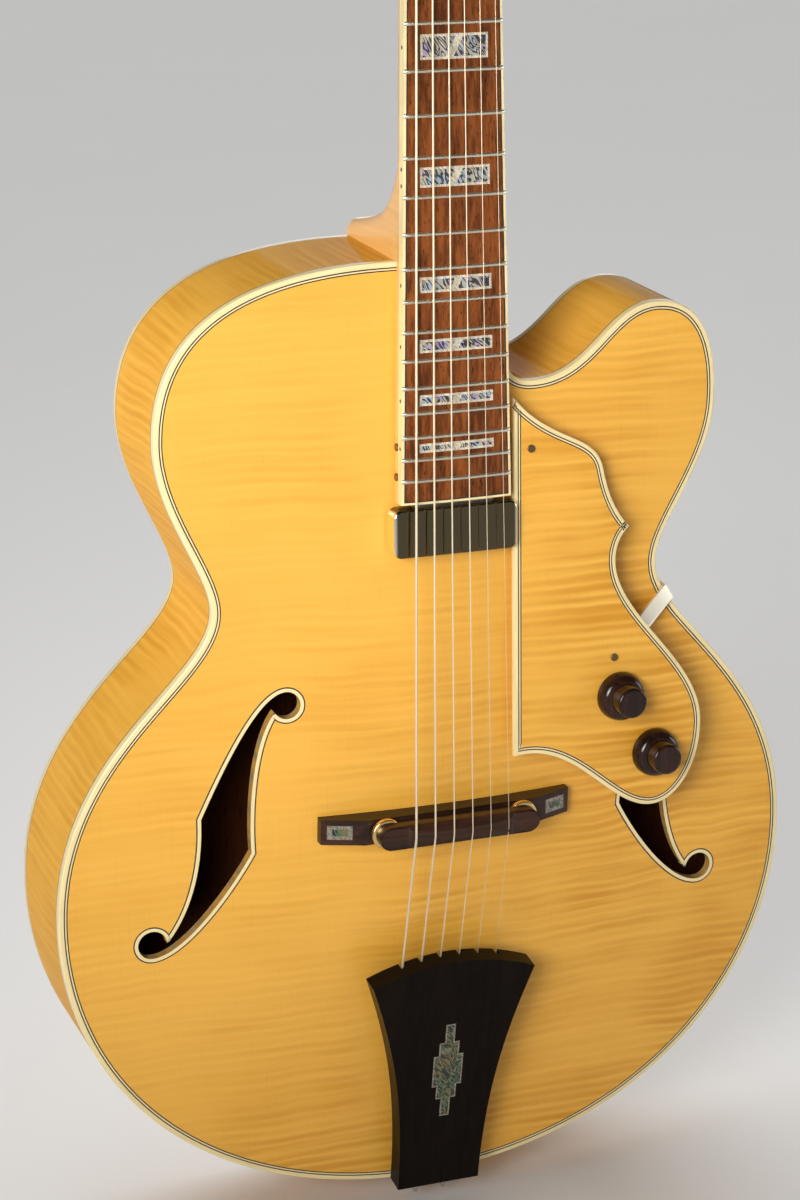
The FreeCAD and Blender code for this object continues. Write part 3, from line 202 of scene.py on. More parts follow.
class FinishColours(bpy.types.PropertyGroup):
    """Colours of woods, trim, shell and metals."""
    maple_light: colour("Maple light", "Bright bars of the flamed maple", (0.87, 0.455, 0.070))
    maple_dark: colour("Maple dark", "Dark bars of the flamed maple", (0.62, 0.255, 0.014))
    neck_light: colour("Neck wood", "Paler wood of the neck and heel", (0.88, 0.50, 0.17))
    ivory: colour("Ivory", "Cream edges and lines", (0.88, 0.71, 0.36))
    line: colour("Line", "Black lines", (0.012, 0.010, 0.008))
    rosewood_light: colour("Rosewood light", "Pale streaks of the fingerboard", (0.26, 0.074, 0.017))
    rosewood_dark: colour("Rosewood dark", "Dark streaks of the fingerboard", (0.060, 0.017, 0.006))
    ebony_light: colour("Ebony light", "Brown streaks of the ebony", (0.010, 0.006, 0.004))
    ebony_dark: colour("Ebony dark", "Ground of the ebony", (0.004, 0.003, 0.002))
    bridge_light: colour("Bridge light", "Brown streaks of the bridge", (0.052, 0.019, 0.009))
    bridge_dark: colour("Bridge dark", "Ground of the bridge", (0.014, 0.006, 0.004))
    # Dark tone inside the body: painted shade, darker than the bare wood there
    inner_shade: colour("Inner shade", "Bare wood inside the body", (0.13, 0.036, 0.013))
    knob_light: colour("Knob light", "Streaks of the knobs", (0.034, 0.011, 0.005))
    knob_dark: colour("Knob dark", "Ground of the knobs", (0.008, 0.003, 0.002))
    bone: colour("Bone", "Nut", (0.80, 0.72, 0.52))
    nickel: colour("Nickel", "Plain steel", (0.66, 0.62, 0.54))
    screw: colour("Screw", "Browned steel of screws and studs", (0.26, 0.17, 0.08))
    fret: colour("Fret", "Fret wire", (0.95, 0.87, 0.70))
    gold: colour("Gold", "Bright gold of tuners and wheels", (0.90, 0.62, 0.26))
    pale_gold: colour("Pale gold", "Strap of the pickguard", (1.0, 0.90, 0.74))
    string: colour("String", "Strings", (0.86, 0.72, 0.50))
    # The cover's dark tone is a painted reflection of a dark room in its mirror plating
    cover: colour("Cover", "Dark plating of the pickup cover", (0.15, 0.12, 0.07))


class StageSettings(bpy.types.PropertyGroup):
    """Floor and light."""
    floor: colour("Floor", "Pale floor", (0.78, 0.775, 0.765))
    key_power: strength("Key power", "Soft light at the left", 2.5, "POWER")
    side_power: strength("Side power", "Soft light at the right", 2.2, "POWER")
    back_power: strength("Back power", "Soft light behind", 4.5, "POWER")
    overhead: strength("Overhead", "Strength of the light on the floor", 2.0)
    horizon: strength("Horizon", "Strength of the light near the horizon", 0.5)
    sky: strength("Sky", "Strength of the light higher up", 0.08)


# Curves in a plan
def cubic(poles, count=41):
    """Points and directions of a cubic curve: its poles weighted by (1-t)^3, 3t(1-t)^2, 3t^2(1-t) and t^3."""
    t = np.linspace(0, 1, count)[:, None]
    s = 1 - t
    p = np.asarray(poles, float)
    spots = s**3 * p[0] + 3 * t * s**2 * p[1] + 3 * t**2 * s * p[2] + t**3 * p[3]
    heads = s**2 * (p[1] - p[0]) + 2 * s * t * (p[2] - p[1]) + t**2 * (p[3] - p[2])
    return spots, heads / np.linalg.norm(heads, axis=1, keepdims=True)


def chain(curves, inset=0.0, turn=1, count=41):
    """Curves end to end, moved sideways by inset along the normal (dz, -dx) times turn."""
    lines = []
    for number, poles in enumerate(curves):
        spots, heads = cubic(poles, count)
        normals = np.stack([heads[:, 1], -heads[:, 0]], axis=1)
        lines.append((spots + turn * inset * normals)[min(number, 1):])
    return np.concatenate(lines)


def from_handles(stops, handles):
    """Poles of cubic curves through stops; each pair of handles gives steps from a curve's two ends."""
    stops = np.asarray(stops, float)
    ends = zip(stops, stops[1:], np.asarray(handles))
    return [[a, a + leave, b + arrive, b] for a, b, (leave, arrive) in ends]


def offset(loop, inset):
    """A closed loop moved inwards with mitred corners, along the sum of the normals of a point's sides."""
    ahead = np.roll(loop, -1, axis=0) - loop
    ahead = ahead / np.linalg.norm(ahead, axis=1, keepdims=True)
    x, z = loop.T
    area = np.sum(x * np.roll(z, -1) - z * np.roll(x, -1))
    left = np.sign(area) * np.stack([-ahead[:, 1], ahead[:, 0]], axis=1)
    both = left + np.roll(left, 1, axis=0)
    mitre = 2 / np.maximum(np.sum(both**2, axis=1, keepdims=True), 0.6)
    return loop + inset * both * mitre


def lower_half(sign, waist_z):
    """Curves of the tail and lower bout on one side, up to the upper bout."""
    low = sign * HALF_LOWER
    waist = sign * HALF_WAIST
    high = sign * HALF_UPPER
    return [
        [(0, 0), (sign * TAIL_PULL, 0), (low, LOWER_Z - LOWER_PULL[0]), (low, LOWER_Z)],
        [(low, LOWER_Z), (low, LOWER_Z + LOWER_PULL[1]),
         (waist, waist_z - WAIST_PULL[0]), (waist, waist_z)],
        [(waist, waist_z), (waist, waist_z + WAIST_PULL[1]),
         (high, UPPER_Z - UPPER_PULL[0]), (high, UPPER_Z)],
    ]


SHOULDER = [(-HALF_UPPER, UPPER_Z), (-HALF_UPPER, UPPER_Z + UPPER_PULL[1]),
            (-SHOULDER_X - SHOULDER_PULL, BODY_LENGTH), (-SHOULDER_X, BODY_LENGTH)]
BASS_SIDE = lower_half(-1, BASS_WAIST_Z) + [SHOULDER]
HORN = [(HALF_UPPER, UPPER_Z), (HALF_UPPER, UPPER_Z + UPPER_PULL[2]),
        (HORN_TOP[0] + HORN_PULL[0], HORN_TOP[1]), HORN_TOP]
SCOOP = [
    [HORN_TOP, (HORN_TOP[0] - HORN_PULL[1], HORN_TOP[1]),
     (CUTAWAY[0] + CUTAWAY_PULL[0], CUTAWAY[1]), CUTAWAY],
    [CUTAWAY, (CUTAWAY[0] - CUTAWAY_PULL[1], CUTAWAY[1]),
     (NECK_SIDE[0], NECK_SIDE[1] - NECK_PULL), NECK_SIDE],
]
TREBLE_SIDE = lower_half(1, TREBLE_WAIST_Z) + [HORN] + SCOOP


def body_halves(inset):
    """Outline moved in by inset as two open lines: the bass side up to the neck, the treble side back."""
    middle = [[0.0, BODY_LENGTH - inset]]
    corner = [[NECK_SIDE[0] - inset, BODY_LENGTH - inset]]
    bass = np.concatenate([chain(BASS_SIDE, inset, 1), middle])
    treble = np.concatenate([middle, corner, chain(TREBLE_SIDE, inset, -1)[::-1]])
    return bass, treble


def body_loop(inset):
    """Closed outline of the body moved in by inset."""
    bass, treble = body_halves(inset)
    return np.concatenate([bass, treble[1:-1]])


# Arch of the plates
BASS_WIDTHS = np.abs(chain(BASS_SIDE, count=15))
TREBLE_WIDTHS = np.abs(chain(TREBLE_SIDE[:4], count=15))
SCOOP_EDGE = np.concatenate([chain(SCOOP, count=15), [[NECK_SIDE[0], BODY_LENGTH]]])


def ramp(share):
    """A smooth rise from 0 to 1, half a cosine wave."""
    return 0.5 - 0.5 * np.cos(np.pi * np.clip(share, 0, 1))


def arch_share(x, z):
    """Arch height as a share: sin(pi z / length)^1.5 along, half a cosine across, ramped at the cutaway."""
    x, z = np.broadcast_arrays(np.asarray(x, float), np.asarray(z, float))
    along = np.sin(np.pi * np.clip(z / BODY_LENGTH, 0, 1)) ** 1.5
    bass = np.interp(z, BASS_WIDTHS[:, 1], BASS_WIDTHS[:, 0])
    treble = np.interp(z, TREBLE_WIDTHS[:, 1], TREBLE_WIDTHS[:, 0])
    half = np.maximum(np.where(x < 0, bass, treble), 1.0)
    steps = (x[..., None] - SCOOP_EDGE[:, 0]) ** 2 + (z[..., None] - SCOOP_EDGE[:, 1]) ** 2
    nearest = np.sqrt(steps.min(axis=-1))
    return along * ramp(1 - np.abs(x) / half) * ramp(nearest / CUTAWAY_RAMP)


def top_level(x, z):
    """Depth of the top's outer face."""
    return FRONT - ARCH_HEIGHT * arch_share(x, z)


def on_top(plan, lift):
    """A plan laid on the top's outer face, raised towards the viewer by lift."""
    x, z = plan[..., 0], plan[..., 1]
    return np.stack([x, top_level(x, z) - lift, z], axis=-1)


def at_depth(plan, depth):
    """A plan laid at one depth."""
    return np.stack([plan[..., 0], np.full(plan.shape[:-1], depth, float), plan[..., 1]], axis=-1)


# Meshes
MERGE_DISTANCE = 1e-7
CAD_MERGE_DISTANCE = 2e-6
FLAT_ANGLE = math.radians(0.5)
BEVEL_ANGLE = math.radians(40)
FACE_INSET = 0.4


def merged(mesh, distance):
    """A mesh opened for work, with points closer than a distance merged."""
    work = bmesh.new()
    work.from_mesh(mesh)
    bmesh.ops.remove_doubles(work, verts=work.verts, dist=distance)
    return work


def smoothed(mesh, work, angle):
    """A mesh taken over from work, smooth apart from edges above an angle in degrees."""
    work.to_mesh(mesh)
    work.free()
    mesh.shade_smooth()
    mesh.set_sharp_from_angle(angle=math.radians(angle))
    return mesh


def finish_mesh(points, faces, uv=None, closed=True, angle=40.0):
    """A smooth mesh in metres with doubles merged and, where it is closed, faces turned outwards."""
    mesh = bpy.data.meshes.new("piece")
    mesh.from_pydata((np.asarray(points) * MM).tolist(), [], faces)
    if uv is not None:
        layer = mesh.uv_layers.new(name="Surface")
        layer.data.foreach_set("uv", (np.asarray(uv) * MM).ravel())
    work = merged(mesh, MERGE_DISTANCE)
    if closed:
        bmesh.ops.recalc_face_normals(work, faces=work.faces)
    return smoothed(mesh, work, angle)


def run_lengths(points, axis):
    """Distance covered along one axis of a grid of points."""
    steps = np.linalg.norm(np.diff(points, axis=axis), axis=-1)
    first = np.zeros_like(np.take(steps, [0], axis=axis))
    return np.cumsum(np.concatenate([first, steps], axis=axis), axis=axis)


def skin(points, wrap=(False, False), ends=False, closed=True, angle=40.0, flip=False):
    """Mesh over grids of points [patch, row, column]: a quad between each four neighbours.

    Rows or columns that wrap join their last to their first. Ends closes the first and last column with
    one face each. The UV map holds the distance along the columns and the distance along the rows.
    """
    points = np.asarray(points, float)
    if points.ndim == 3:
        points = points[None]
    number = np.arange(points[..., 0].size).reshape(points.shape[:3])
    full = points
    for axis in (1, 2):
        if wrap[axis - 1]:
            number = np.concatenate([number, np.take(number, [0], axis=axis)], axis=axis)
            full = np.concatenate([full, np.take(full, [0], axis=axis)], axis=axis)
    along = run_lengths(full, 2)
    across = run_lengths(full, 1)
    spot = np.arange(number.size).reshape(number.shape)

    def quads(table):
        four = [table[:, :-1, :-1], table[:, 1:, :-1], table[:, 1:, 1:], table[:, :-1, 1:]]
        if flip:
            four.reverse()
        return np.stack(four, axis=-1).reshape(-1, 4)

    uv = np.stack([along.ravel(), across.ravel()], axis=1)[quads(spot).ravel()]
    faces = quads(number).tolist()
    if ends:
        caps = number[:, :points.shape[1], [0, -1]].transpose(0, 2, 1).reshape(-1, points.shape[1])
        faces += caps.tolist()
        uv = np.concatenate([uv, np.zeros((caps.size, 2))])
    return finish_mesh(points.reshape(-1, 3), faces, uv, closed, angle)


def inside(points, loop):
    """True where the ray to the right of a point crosses a closed loop an odd number of times."""
    ahead = np.roll(loop, -1, axis=0)
    x, z = points[:, :1], points[:, 1:]
    crosses = (loop[:, 1] > z) != (ahead[:, 1] > z)
    rise = ahead[:, 1] - loop[:, 1]
    where = loop[:, 0] + (z - loop[:, 1]) * (ahead[:, 0] - loop[:, 0]) / np.where(rise == 0, 1e-9, rise)
    return np.count_nonzero(crosses & (x < where), axis=1) % 2 == 1


def filled(loops, spacing):
    """Plan points and triangles that fill the first loop around the others, on a square grid of points."""
    outer = loops[0]
    limits = zip(outer.min(axis=0), outer.max(axis=0))
    axes = [np.arange(low + spacing / 2, high, spacing) for low, high in limits]
    grid = np.stack(np.meshgrid(*axes), axis=-1).reshape(-1, 2)
    edge = np.concatenate(loops)
    gap = np.min((grid[:, :1] - edge[:, 0]) ** 2 + (grid[:, 1:] - edge[:, 1]) ** 2, axis=1)
    keep = inside(grid, outer) & (gap > (0.6 * spacing) ** 2)
    for hole in loops[1:]:
        keep &= ~inside(grid, hole)
    joins = []
    start = 0
    for loop in loops:
        ring = np.arange(start, start + len(loop))
        joins += np.stack([ring, np.roll(ring, -1)], axis=1).tolist()
        start += len(loop)
    seeds = np.concatenate([edge, grid[keep]])
    spots, _, faces, *_ = delaunay_2d_cdt([Vector(p) for p in seeds], joins, [], 0, 1e-6)
    spots = np.array([tuple(p) for p in spots])
    faces = np.array(faces)
    middles = spots[faces].mean(axis=1)
    wanted = inside(middles, outer)
    for hole in loops[1:]:
        wanted &= ~inside(middles, hole)
    return spots, faces[wanted]


def plate_mesh(plan, triangles, front, back, local=None):
    """A closed plate from filled plan triangles between two levels, with a wall along every open edge."""
    count = len(plan)
    sides = np.concatenate([triangles[:, [0, 1]], triangles[:, [1, 2]], triangles[:, [2, 0]]])
    code = sides[:, 0] * count + sides[:, 1]
    back_code = sides[:, 1] * count + sides[:, 0]
    edge = sides[~np.isin(code, back_code)]
    walls = np.stack([edge[:, 1], edge[:, 0], edge[:, 0] + count, edge[:, 1] + count], axis=1)
    points = np.concatenate([np.stack([plan[:, 0], level + 0 * plan[:, 0], plan[:, 1]], axis=1)
                             for level in (front, back)])
    if local:
        points = put(points, local)
    faces = triangles.tolist() + (triangles[:, ::-1] + count).tolist() + walls.tolist()
    return finish_mesh(points, faces)


def painted_shade_inside(piece, material, side):
    """Give one side of a plate a second material, the dark painted shade of the inside: side 0 is the front,
    side 1 the back.
    """
    piece.data.materials.append(material)
    slots = np.zeros(len(piece.data.polygons), np.int32)
    facing = np.zeros(3 * len(slots), np.float32)
    piece.data.polygons.foreach_get("normal", facing)
    slots[(facing[1::3] > 0.5) if side else (facing[1::3] < -0.5)] = 1
    piece.data.polygons.foreach_set("material_index", slots)


def rounded_slab(loop, local, low, high, radius):
    """A plate with a rounded front edge: the loop drawn in by r(1 - sin a) at depth low + r(1 - cos a)."""
    rows = [(radius + FACE_INSET, low)]
    for a in np.linspace(0, math.pi / 2, 6):
        rows.append((radius * (1 - math.sin(a)), low + radius * (1 - math.cos(a))))
    rows.append((0.0, high))
    rings = [put(at_depth(offset(loop, inset), depth), local) for inset, depth in rows]
    return skin(np.stack(rings, axis=1), wrap=(True, False), ends=True)


def lathe(profile, centre, local, steps=72, knurl=0.0, teeth=0):
    """A turned piece: a profile (radius, depth) carried round local Y; knurl dents its widest part."""
    profile = np.asarray(profile, float)
    angle = np.linspace(0, 2 * np.pi, steps, endpoint=False)
    radius = profile[:, :1] * np.ones(steps)
    if teeth:
        outer = profile[:, :1] > profile[:, 0].max() - 1e-6
        radius = radius - knurl * outer * (0.5 + 0.5 * np.cos(teeth * angle))
    points = np.stack([centre[0] + radius * np.cos(angle), profile[:, 1:] + 0 * radius,
                       centre[1] + radius * np.sin(angle)], axis=-1)
    return skin(put(points, local), wrap=(False, True), angle=32)


def tubes(paths, radii, sides=10):
    """Round tubes along paths [tube, point]: rings of one radius across each path's direction."""
    paths = np.asarray(paths, float)
    heads = np.gradient(paths, axis=1)
    heads /= np.linalg.norm(heads, axis=-1, keepdims=True)
    side = np.cross(heads, (0.0, 1.0, 0.2))
    side /= np.linalg.norm(side, axis=-1, keepdims=True)
    other = np.cross(heads, side)
    angle = np.linspace(0, 2 * np.pi, sides, endpoint=False)[:, None, None]
    radii = np.asarray(radii, float)[:, None, None, None]
    rings = paths[:, None] + radii * (np.cos(angle) * side[:, None] + np.sin(angle) * other[:, None])
    return skin(rings, wrap=(True, False), ends=True, angle=50)


def merged_copy(cad_name, angle):
    """A copy of a CAD node's mesh with its loose triangles joined and its flat faces made whole."""
    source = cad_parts[cad_name].data
    spots = np.zeros(len(source.vertices) * 3, np.float32)
    source.vertices.foreach_get("co", spots)
    corners = np.zeros(len(source.loops), np.int32)
    source.loops.foreach_get("vertex_index", corners)
    mesh = bpy.data.meshes.new("piece")
    mesh.from_pydata(spots.reshape(-1, 3).tolist(), [], corners.reshape(-1, 3).tolist())
    work = merged(mesh, CAD_MERGE_DISTANCE)
    bmesh.ops.dissolve_limit(work, angle_limit=FLAT_ANGLE, verts=work.verts, edges=work.edges)
    return smoothed(mesh, work, angle)


def show(name, mesh, material, body=ROOT, nodes=()):
    """Put a mesh into the scene as a piece that rides on a body and stands for CAD nodes."""
    mesh.name = name
    piece = bpy.data.objects.new(name, mesh)
    bpy.context.scene.collection.objects.link(piece)
    mesh.materials.append(material)
    if nodes:
        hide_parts(*nodes)
    if body:
        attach(piece, body)
    return piece


def smooth_copy(cad_name, material, body=ROOT, angle=35.0, bevel=0.0):
    """A CAD node shown again with smooth curves and, if asked, softened edges."""
    mesh = merged_copy(cad_name, angle)
    piece = show(cad_name + "_finish", mesh, material, body, [cad_name])
    if bevel:
        soft = piece.modifiers.new("Soft edges", "BEVEL")
        soft.width = bevel * MM
        soft.segments = 2
        soft.limit_method = "ANGLE"
        soft.angle_limit = BEVEL_ANGLE
        soft.harden_normals = True


def dress(material, *cad_names):
    """Give CAD nodes that keep their shape a finished material."""
    for cad_name in cad_names:
        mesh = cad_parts[cad_name].data
        mesh.materials.clear()
        mesh.materials.append(material)


# Shader nodes: every input takes a socket or a plain value
def feed(tree, sockets, values):
    """Fill sockets by name or number: link those given a socket, set those given a number or colour."""
    for key, value in values.items():
        socket = sockets[key]
        if isinstance(value, bpy.types.NodeSocket):
            tree.links.new(value, socket)
        elif socket.type == "RGBA":
            socket.default_value = (*value, 1.0)
        else:
            socket.default_value = value


def node(tree, kind, values=None, **settings):
    """Outputs of a new shader node with these settings and inputs."""
    made = tree.nodes.new(kind)
    for key, value in settings.items():
        setattr(made, key, value)
    feed(tree, made.inputs, values or {})
    return made.outputs


def math_node(tree, operation, *values):
    """Result of a math node."""
    return node(tree, "ShaderNodeMath", dict(enumerate(values)), operation=operation)[0]


def vector_math(tree, operation, values):
    """Result of a vector math node."""
    return node(tree, "ShaderNodeVectorMath", values, operation=operation)[0]


def mix_colour(tree, share, first, second):
    """A mix of two colours."""
    return node(tree, "ShaderNodeMix", {0: share, 6: first, 7: second}, data_type="RGBA")[2]


def noise(tree, place, scale, detail=3.0, roughness=0.55):
    """A noise value; scale is one number or one for each axis."""
    if not np.isscalar(scale):
        place = vector_math(tree, "MULTIPLY", {0: place, 1: scale})
        scale = 1.0
    values = {"Vector": place, "Scale": scale, "Detail": detail, "Roughness": roughness}
    return node(tree, "ShaderNodeTexNoise", values)["Fac"]


def spread(tree, value, low, high):
    """A value stretched so that low becomes 0 and high becomes 1, smoothly."""
    values = {"Value": value, "From Min": low, "From Max": high}
    return node(tree, "ShaderNodeMapRange", values, interpolation_type="SMOOTHSTEP")["Result"]


def bands(tree, place, scale):
    """Even waves along the place's Y axis."""
    values = {"Vector": place, "Scale": scale, "Distortion": 0.0}
    return node(tree, "ShaderNodeTexWave", values, bands_direction="Y")["Fac"]


def weighted(tree, first, share, second):
    """A share of the first value and the rest of the second."""
    return math_node(tree, "MULTIPLY_ADD", first, share, math_node(tree, "MULTIPLY", second, 1 - share))


def parts_of(tree, place):
    """The X, Y and Z of a place."""
    return node(tree, "ShaderNodeSeparateXYZ", {0: place})


def joined(tree, **axes):
    """A place put together from some of its axes."""
    return node(tree, "ShaderNodeCombineXYZ", axes)[0]


# Shared node groups
PLACE = ("Place", "Vector", None)
WOOD_INPUTS = (PLACE, ("Light", "Color", None), ("Dark", "Color", None), ("Strength", "Float", 0.8))
SHELL_INPUTS = (PLACE, ("Scale", "Float", 1.0), ("Dark", "Color", None), ("First", "Color", None),
                ("Second", "Color", None), ("Third", "Color", None))
FIGURE_OUTPUTS = (("Color", "Color"), ("Height", "Float"))
FIBRE_TONE = (0.34, 0.12, 0.01)
PORE_TONE = (0.004, 0.002, 0.001)
STRIPE_SOFTNESS = 0.00004


def new_group(name, inputs, outputs):
    """An empty node group with named inputs (label, kind, default) and outputs (label, kind)."""
    tree = bpy.data.node_groups.new(name, "ShaderNodeTree")
    for label, kind, default in inputs:
        socket = tree.interface.new_socket(label, in_out="INPUT", socket_type="NodeSocket" + kind)
        if default is not None:
            socket.default_value = default
    for label, kind in outputs:
        tree.interface.new_socket(label, in_out="OUTPUT", socket_type="NodeSocket" + kind)
    return tree, tree.nodes.new("NodeGroupInput").outputs, tree.nodes.new("NodeGroupOutput").inputs


def flame_group():
    """Flamed maple: bars across the grain, part even wave and part noise, over fine straight fibres.

    One slow noise makes the bars sway and another makes them strong in patches.
    """
    tree, given, out = new_group("Flame figure", WOOD_INPUTS, FIGURE_OUTPUTS)
    place = given["Place"]
    wander = noise(tree, place, (13.0, 10.0, 13.0), 2.0)
    sway = joined(tree, Y=math_node(tree, "MULTIPLY_ADD", wander, 0.010, -0.005))
    moved = vector_math(tree, "ADD", {0: place, 1: sway})
    even_bars = math_node(tree, "SUBTRACT", 1.0, math_node(tree, "POWER", bands(tree, moved, 60.0), 2.0))
    rough_bars = spread(tree, noise(tree, moved, (12.0, 250.0, 12.0), 1.0), 0.32, 0.68)
    bars = weighted(tree, even_bars, 0.4, rough_bars)
    patches = spread(tree, noise(tree, place, 13.0, 2.0), 0.30, 0.68)
    uneven = math_node(tree, "MULTIPLY_ADD", patches, 0.7, 0.3)
    share = math_node(tree, "MULTIPLY", bars, math_node(tree, "MULTIPLY", given["Strength"], uneven))
    figured = mix_colour(tree, share, given["Light"], given["Dark"])
    fibres = noise(tree, place, (900.0, 16.0, 900.0), 3.0)
    fine = math_node(tree, "MULTIPLY", spread(tree, fibres, 0.5, 0.85), 0.07)
    feed(tree, out, {"Color": mix_colour(tree, fine, figured, FIBRE_TONE), "Height": fibres})
    return tree


def grain_group():
    """Straight-grained dark wood: long streaks along the place's Y axis with short open pores."""
    tree, given, out = new_group("Straight grain", WOOD_INPUTS, FIGURE_OUTPUTS)
    place = given["Place"]
    streaks = noise(tree, place, (420.0, 9.0, 420.0), 5.0, 0.6)
    broad = noise(tree, place, (70.0, 3.0, 70.0), 2.0)
    grain = spread(tree, weighted(tree, streaks, 0.65, broad), 0.36, 0.64)
    share = math_node(tree, "MULTIPLY", grain, given["Strength"])
    figured = mix_colour(tree, share, given["Light"], given["Dark"])
    pores = spread(tree, noise(tree, place, (1500.0, 70.0, 1500.0), 1.0), 0.62, 0.72)
    pitted = mix_colour(tree, math_node(tree, "MULTIPLY", pores, 0.7), figured, PORE_TONE)
    feed(tree, out, {"Color": pitted, "Height": math_node(tree, "SUBTRACT", 1.0, pores)})
    return tree


def shell_group():
    """Shell: fine dark growth lines, the sine of a stretched noise, over three tints in patches."""
    tree, given, out = new_group("Shell figure", SHELL_INPUTS, FIGURE_OUTPUTS)
    sized = vector_math(tree, "SCALE", {0: given["Place"], "Scale": given["Scale"]})
    leant = turned(tree, sized, (0.0, 35.0, 0.0))
    flow = noise(tree, leant, (150.0, 60.0, 45.0), 2.0)
    lines = math_node(tree, "SINE", math_node(tree, "MULTIPLY", flow, 60.0))
    tint = noise(tree, sized, 120.0, 1.0)
    mixed = mix_colour(tree, spread(tree, tint, 0.38, 0.50), given["First"], given["Second"])
    mixed = mix_colour(tree, spread(tree, tint, 0.54, 0.64), mixed, given["Third"])
    lined = mix_colour(tree, spread(tree, lines, -0.8, 0.6), given["Dark"], mixed)
    feed(tree, out, {"Color": lined, "Height": lines})
    return tree


def polish_group():
    """Polish: a base roughness with faint cloudy smears and fine rubbing marks."""
    inputs = (PLACE, ("Base", "Float", 0.25), ("Change", "Float", 0.12))
    tree, given, out = new_group("Polish", inputs, (("Roughness", "Float"), ("Height", "Float")))
    smears = noise(tree, given["Place"], 24.0, 4.0, 0.6)
    marks = noise(tree, given["Place"], (2400.0, 300.0, 900.0), 2.0)
    level = math_node(tree, "SUBTRACT", weighted(tree, marks, 0.35, smears), 0.5)
    rough = math_node(tree, "MULTIPLY_ADD", level, given["Change"], given["Base"])
    feed(tree, out, {"Roughness": rough, "Height": marks})
    return tree


def stripe_group():
    """A stripe: 1 where a value lies between two limits, 0 elsewhere, with a hair of softness."""
    inputs = (("Value", "Float", 0.0), ("Low", "Float", 0.0), ("High", "Float", 1.0))
    tree, given, out = new_group("Stripe", inputs, (("Mask", "Float"),))
    above = math_node(tree, "SUBTRACT", given["Value"], given["Low"])
    below = math_node(tree, "SUBTRACT", given["High"], given["Value"])
    slopes = [math_node(tree, "DIVIDE", side, STRIPE_SOFTNESS) for side in (above, below)]
    least = math_node(tree, "MAXIMUM", math_node(tree, "MINIMUM", *slopes), 0.0)
    feed(tree, out, {"Mask": math_node(tree, "MINIMUM", least, 1.0)})
    return tree


GROUP_MAKERS = {"Flame figure": flame_group, "Straight grain": grain_group, "Shell figure": shell_group,
                "Polish": polish_group, "Stripe": stripe_group}


def use_group(tree, name, **values):
    """Outputs of a node that places a shared group, made on first use, with its own values."""
    group = bpy.data.node_groups.get(name) or GROUP_MAKERS[name]()
    return node(tree, "ShaderNodeGroup", values, node_tree=group)


# Materials
def new_material(name, **values):
    """A material with one Principled shader and constant values on its own sockets."""
    material = bpy.data.materials.new(name)
    material.use_nodes = True
    shader = material.node_tree.nodes["Principled BSDF"].inputs
    feed(material.node_tree, shader, {key.replace("_", " "): value for key, value in values.items()})
    return material, material.node_tree, shader


def tinted(tone, share):
    """A tone made brighter or darker by a share, up to full white."""
    return [min(1, share * c) for c in tone]


def turned(tree, place, degrees):
    """A place turned about its three axes."""
    angles = [math.radians(a) for a in degrees]
    return node(tree, "ShaderNodeMapping", {"Vector": place, "Rotation": angles})[0]


def object_place(tree, turn=(0.0, 0.0, 0.0)):
    """Object coordinates, turned by angles in degrees."""
    return turned(tree, node(tree, "ShaderNodeTexCoord")["Object"], turn)


def swapped(tree, place):
    """A place with its second and third axes exchanged, so that patterns made along Y run along Z."""
    parts = parts_of(tree, place)
    return joined(tree, X=parts["X"], Y=parts["Z"], Z=parts["Y"])


def surface_place(tree):
    """The piece's own map as a place, X across the strip and Y along it, and the distance across."""
    parts = parts_of(tree, node(tree, "ShaderNodeUVMap", uv_map="Surface")[0])
    return joined(tree, X=parts["Y"], Y=parts["X"]), parts["Y"]


def bump(tree, shader, height, strength, distance):
    """Small relief from a height value."""
    values = {"Height": height, "Strength": strength, "Distance": distance}
    feed(tree, shader, {"Normal": node(tree, "ShaderNodeBump", values)[0]})


def coat(tree, shader, tone, place, base, change, relief=0.0):
    """A colour under uneven gloss from the shared polish, with a trace of relief if asked."""
    worn = use_group(tree, "Polish", Place=place, Base=base, Change=change)
    feed(tree, shader, {"Base Color": tone, "Roughness": worn["Roughness"]})
    if relief:
        bump(tree, shader, worn["Height"], relief, 0.00002)


def maple(name, colours, by_surface=False, strength=0.7, painted_light_fade=0.0, gloss=0.5, shine=0.12, light=None):
    """Flamed maple under clear gloss; the bars follow the object's axes or the piece's own map.

    The figure can be weakened towards the upper bass side: painted light that makes the plate paler where the
    lamp falls strongest, and painted shade that keeps it darker towards the lower treble side.
    """
    material, tree, shader = new_material(name, Coat_Weight=gloss, Coat_Roughness=0.08,
                                          Specular_IOR_Level=shine)
    place = surface_place(tree)[0] if by_surface else swapped(tree, object_place(tree))
    if painted_light_fade:
        # Painted light and shade: figure weaker towards the upper bass side, stronger towards the lower
        # treble side
        parts = parts_of(tree, place)
        lower_treble = math_node(tree, "MULTIPLY_ADD", parts["Y"], -0.5, parts["X"])
        painted_shade_share = spread(tree, lower_treble, -0.28, 0.08)
        strength = math_node(tree, "MULTIPLY_ADD", painted_shade_share, painted_light_fade, strength - painted_light_fade)
    figure = use_group(tree, "Flame figure", Place=place, Light=light or colours.maple_light,
                       Dark=colours.maple_dark, Strength=strength)
    coat(tree, shader, figure["Color"], place, 0.30, 0.10)
    return material


def dark_wood(name, light, dark, base=0.32, strength=0.9, turn=(0.0, 0.0, 0.0), **values):
    """Wood with streaks and pores along Z, or along another axis after a turn in degrees."""
    material, tree, shader = new_material(name, **values)
    place = swapped(tree, object_place(tree, turn))
    figure = use_group(tree, "Straight grain", Place=place, Light=light, Dark=dark, Strength=strength)
    coat(tree, shader, figure["Color"], place, base, 0.14)
    bump(tree, shader, figure["Height"], 0.18, 0.00004)
    return material


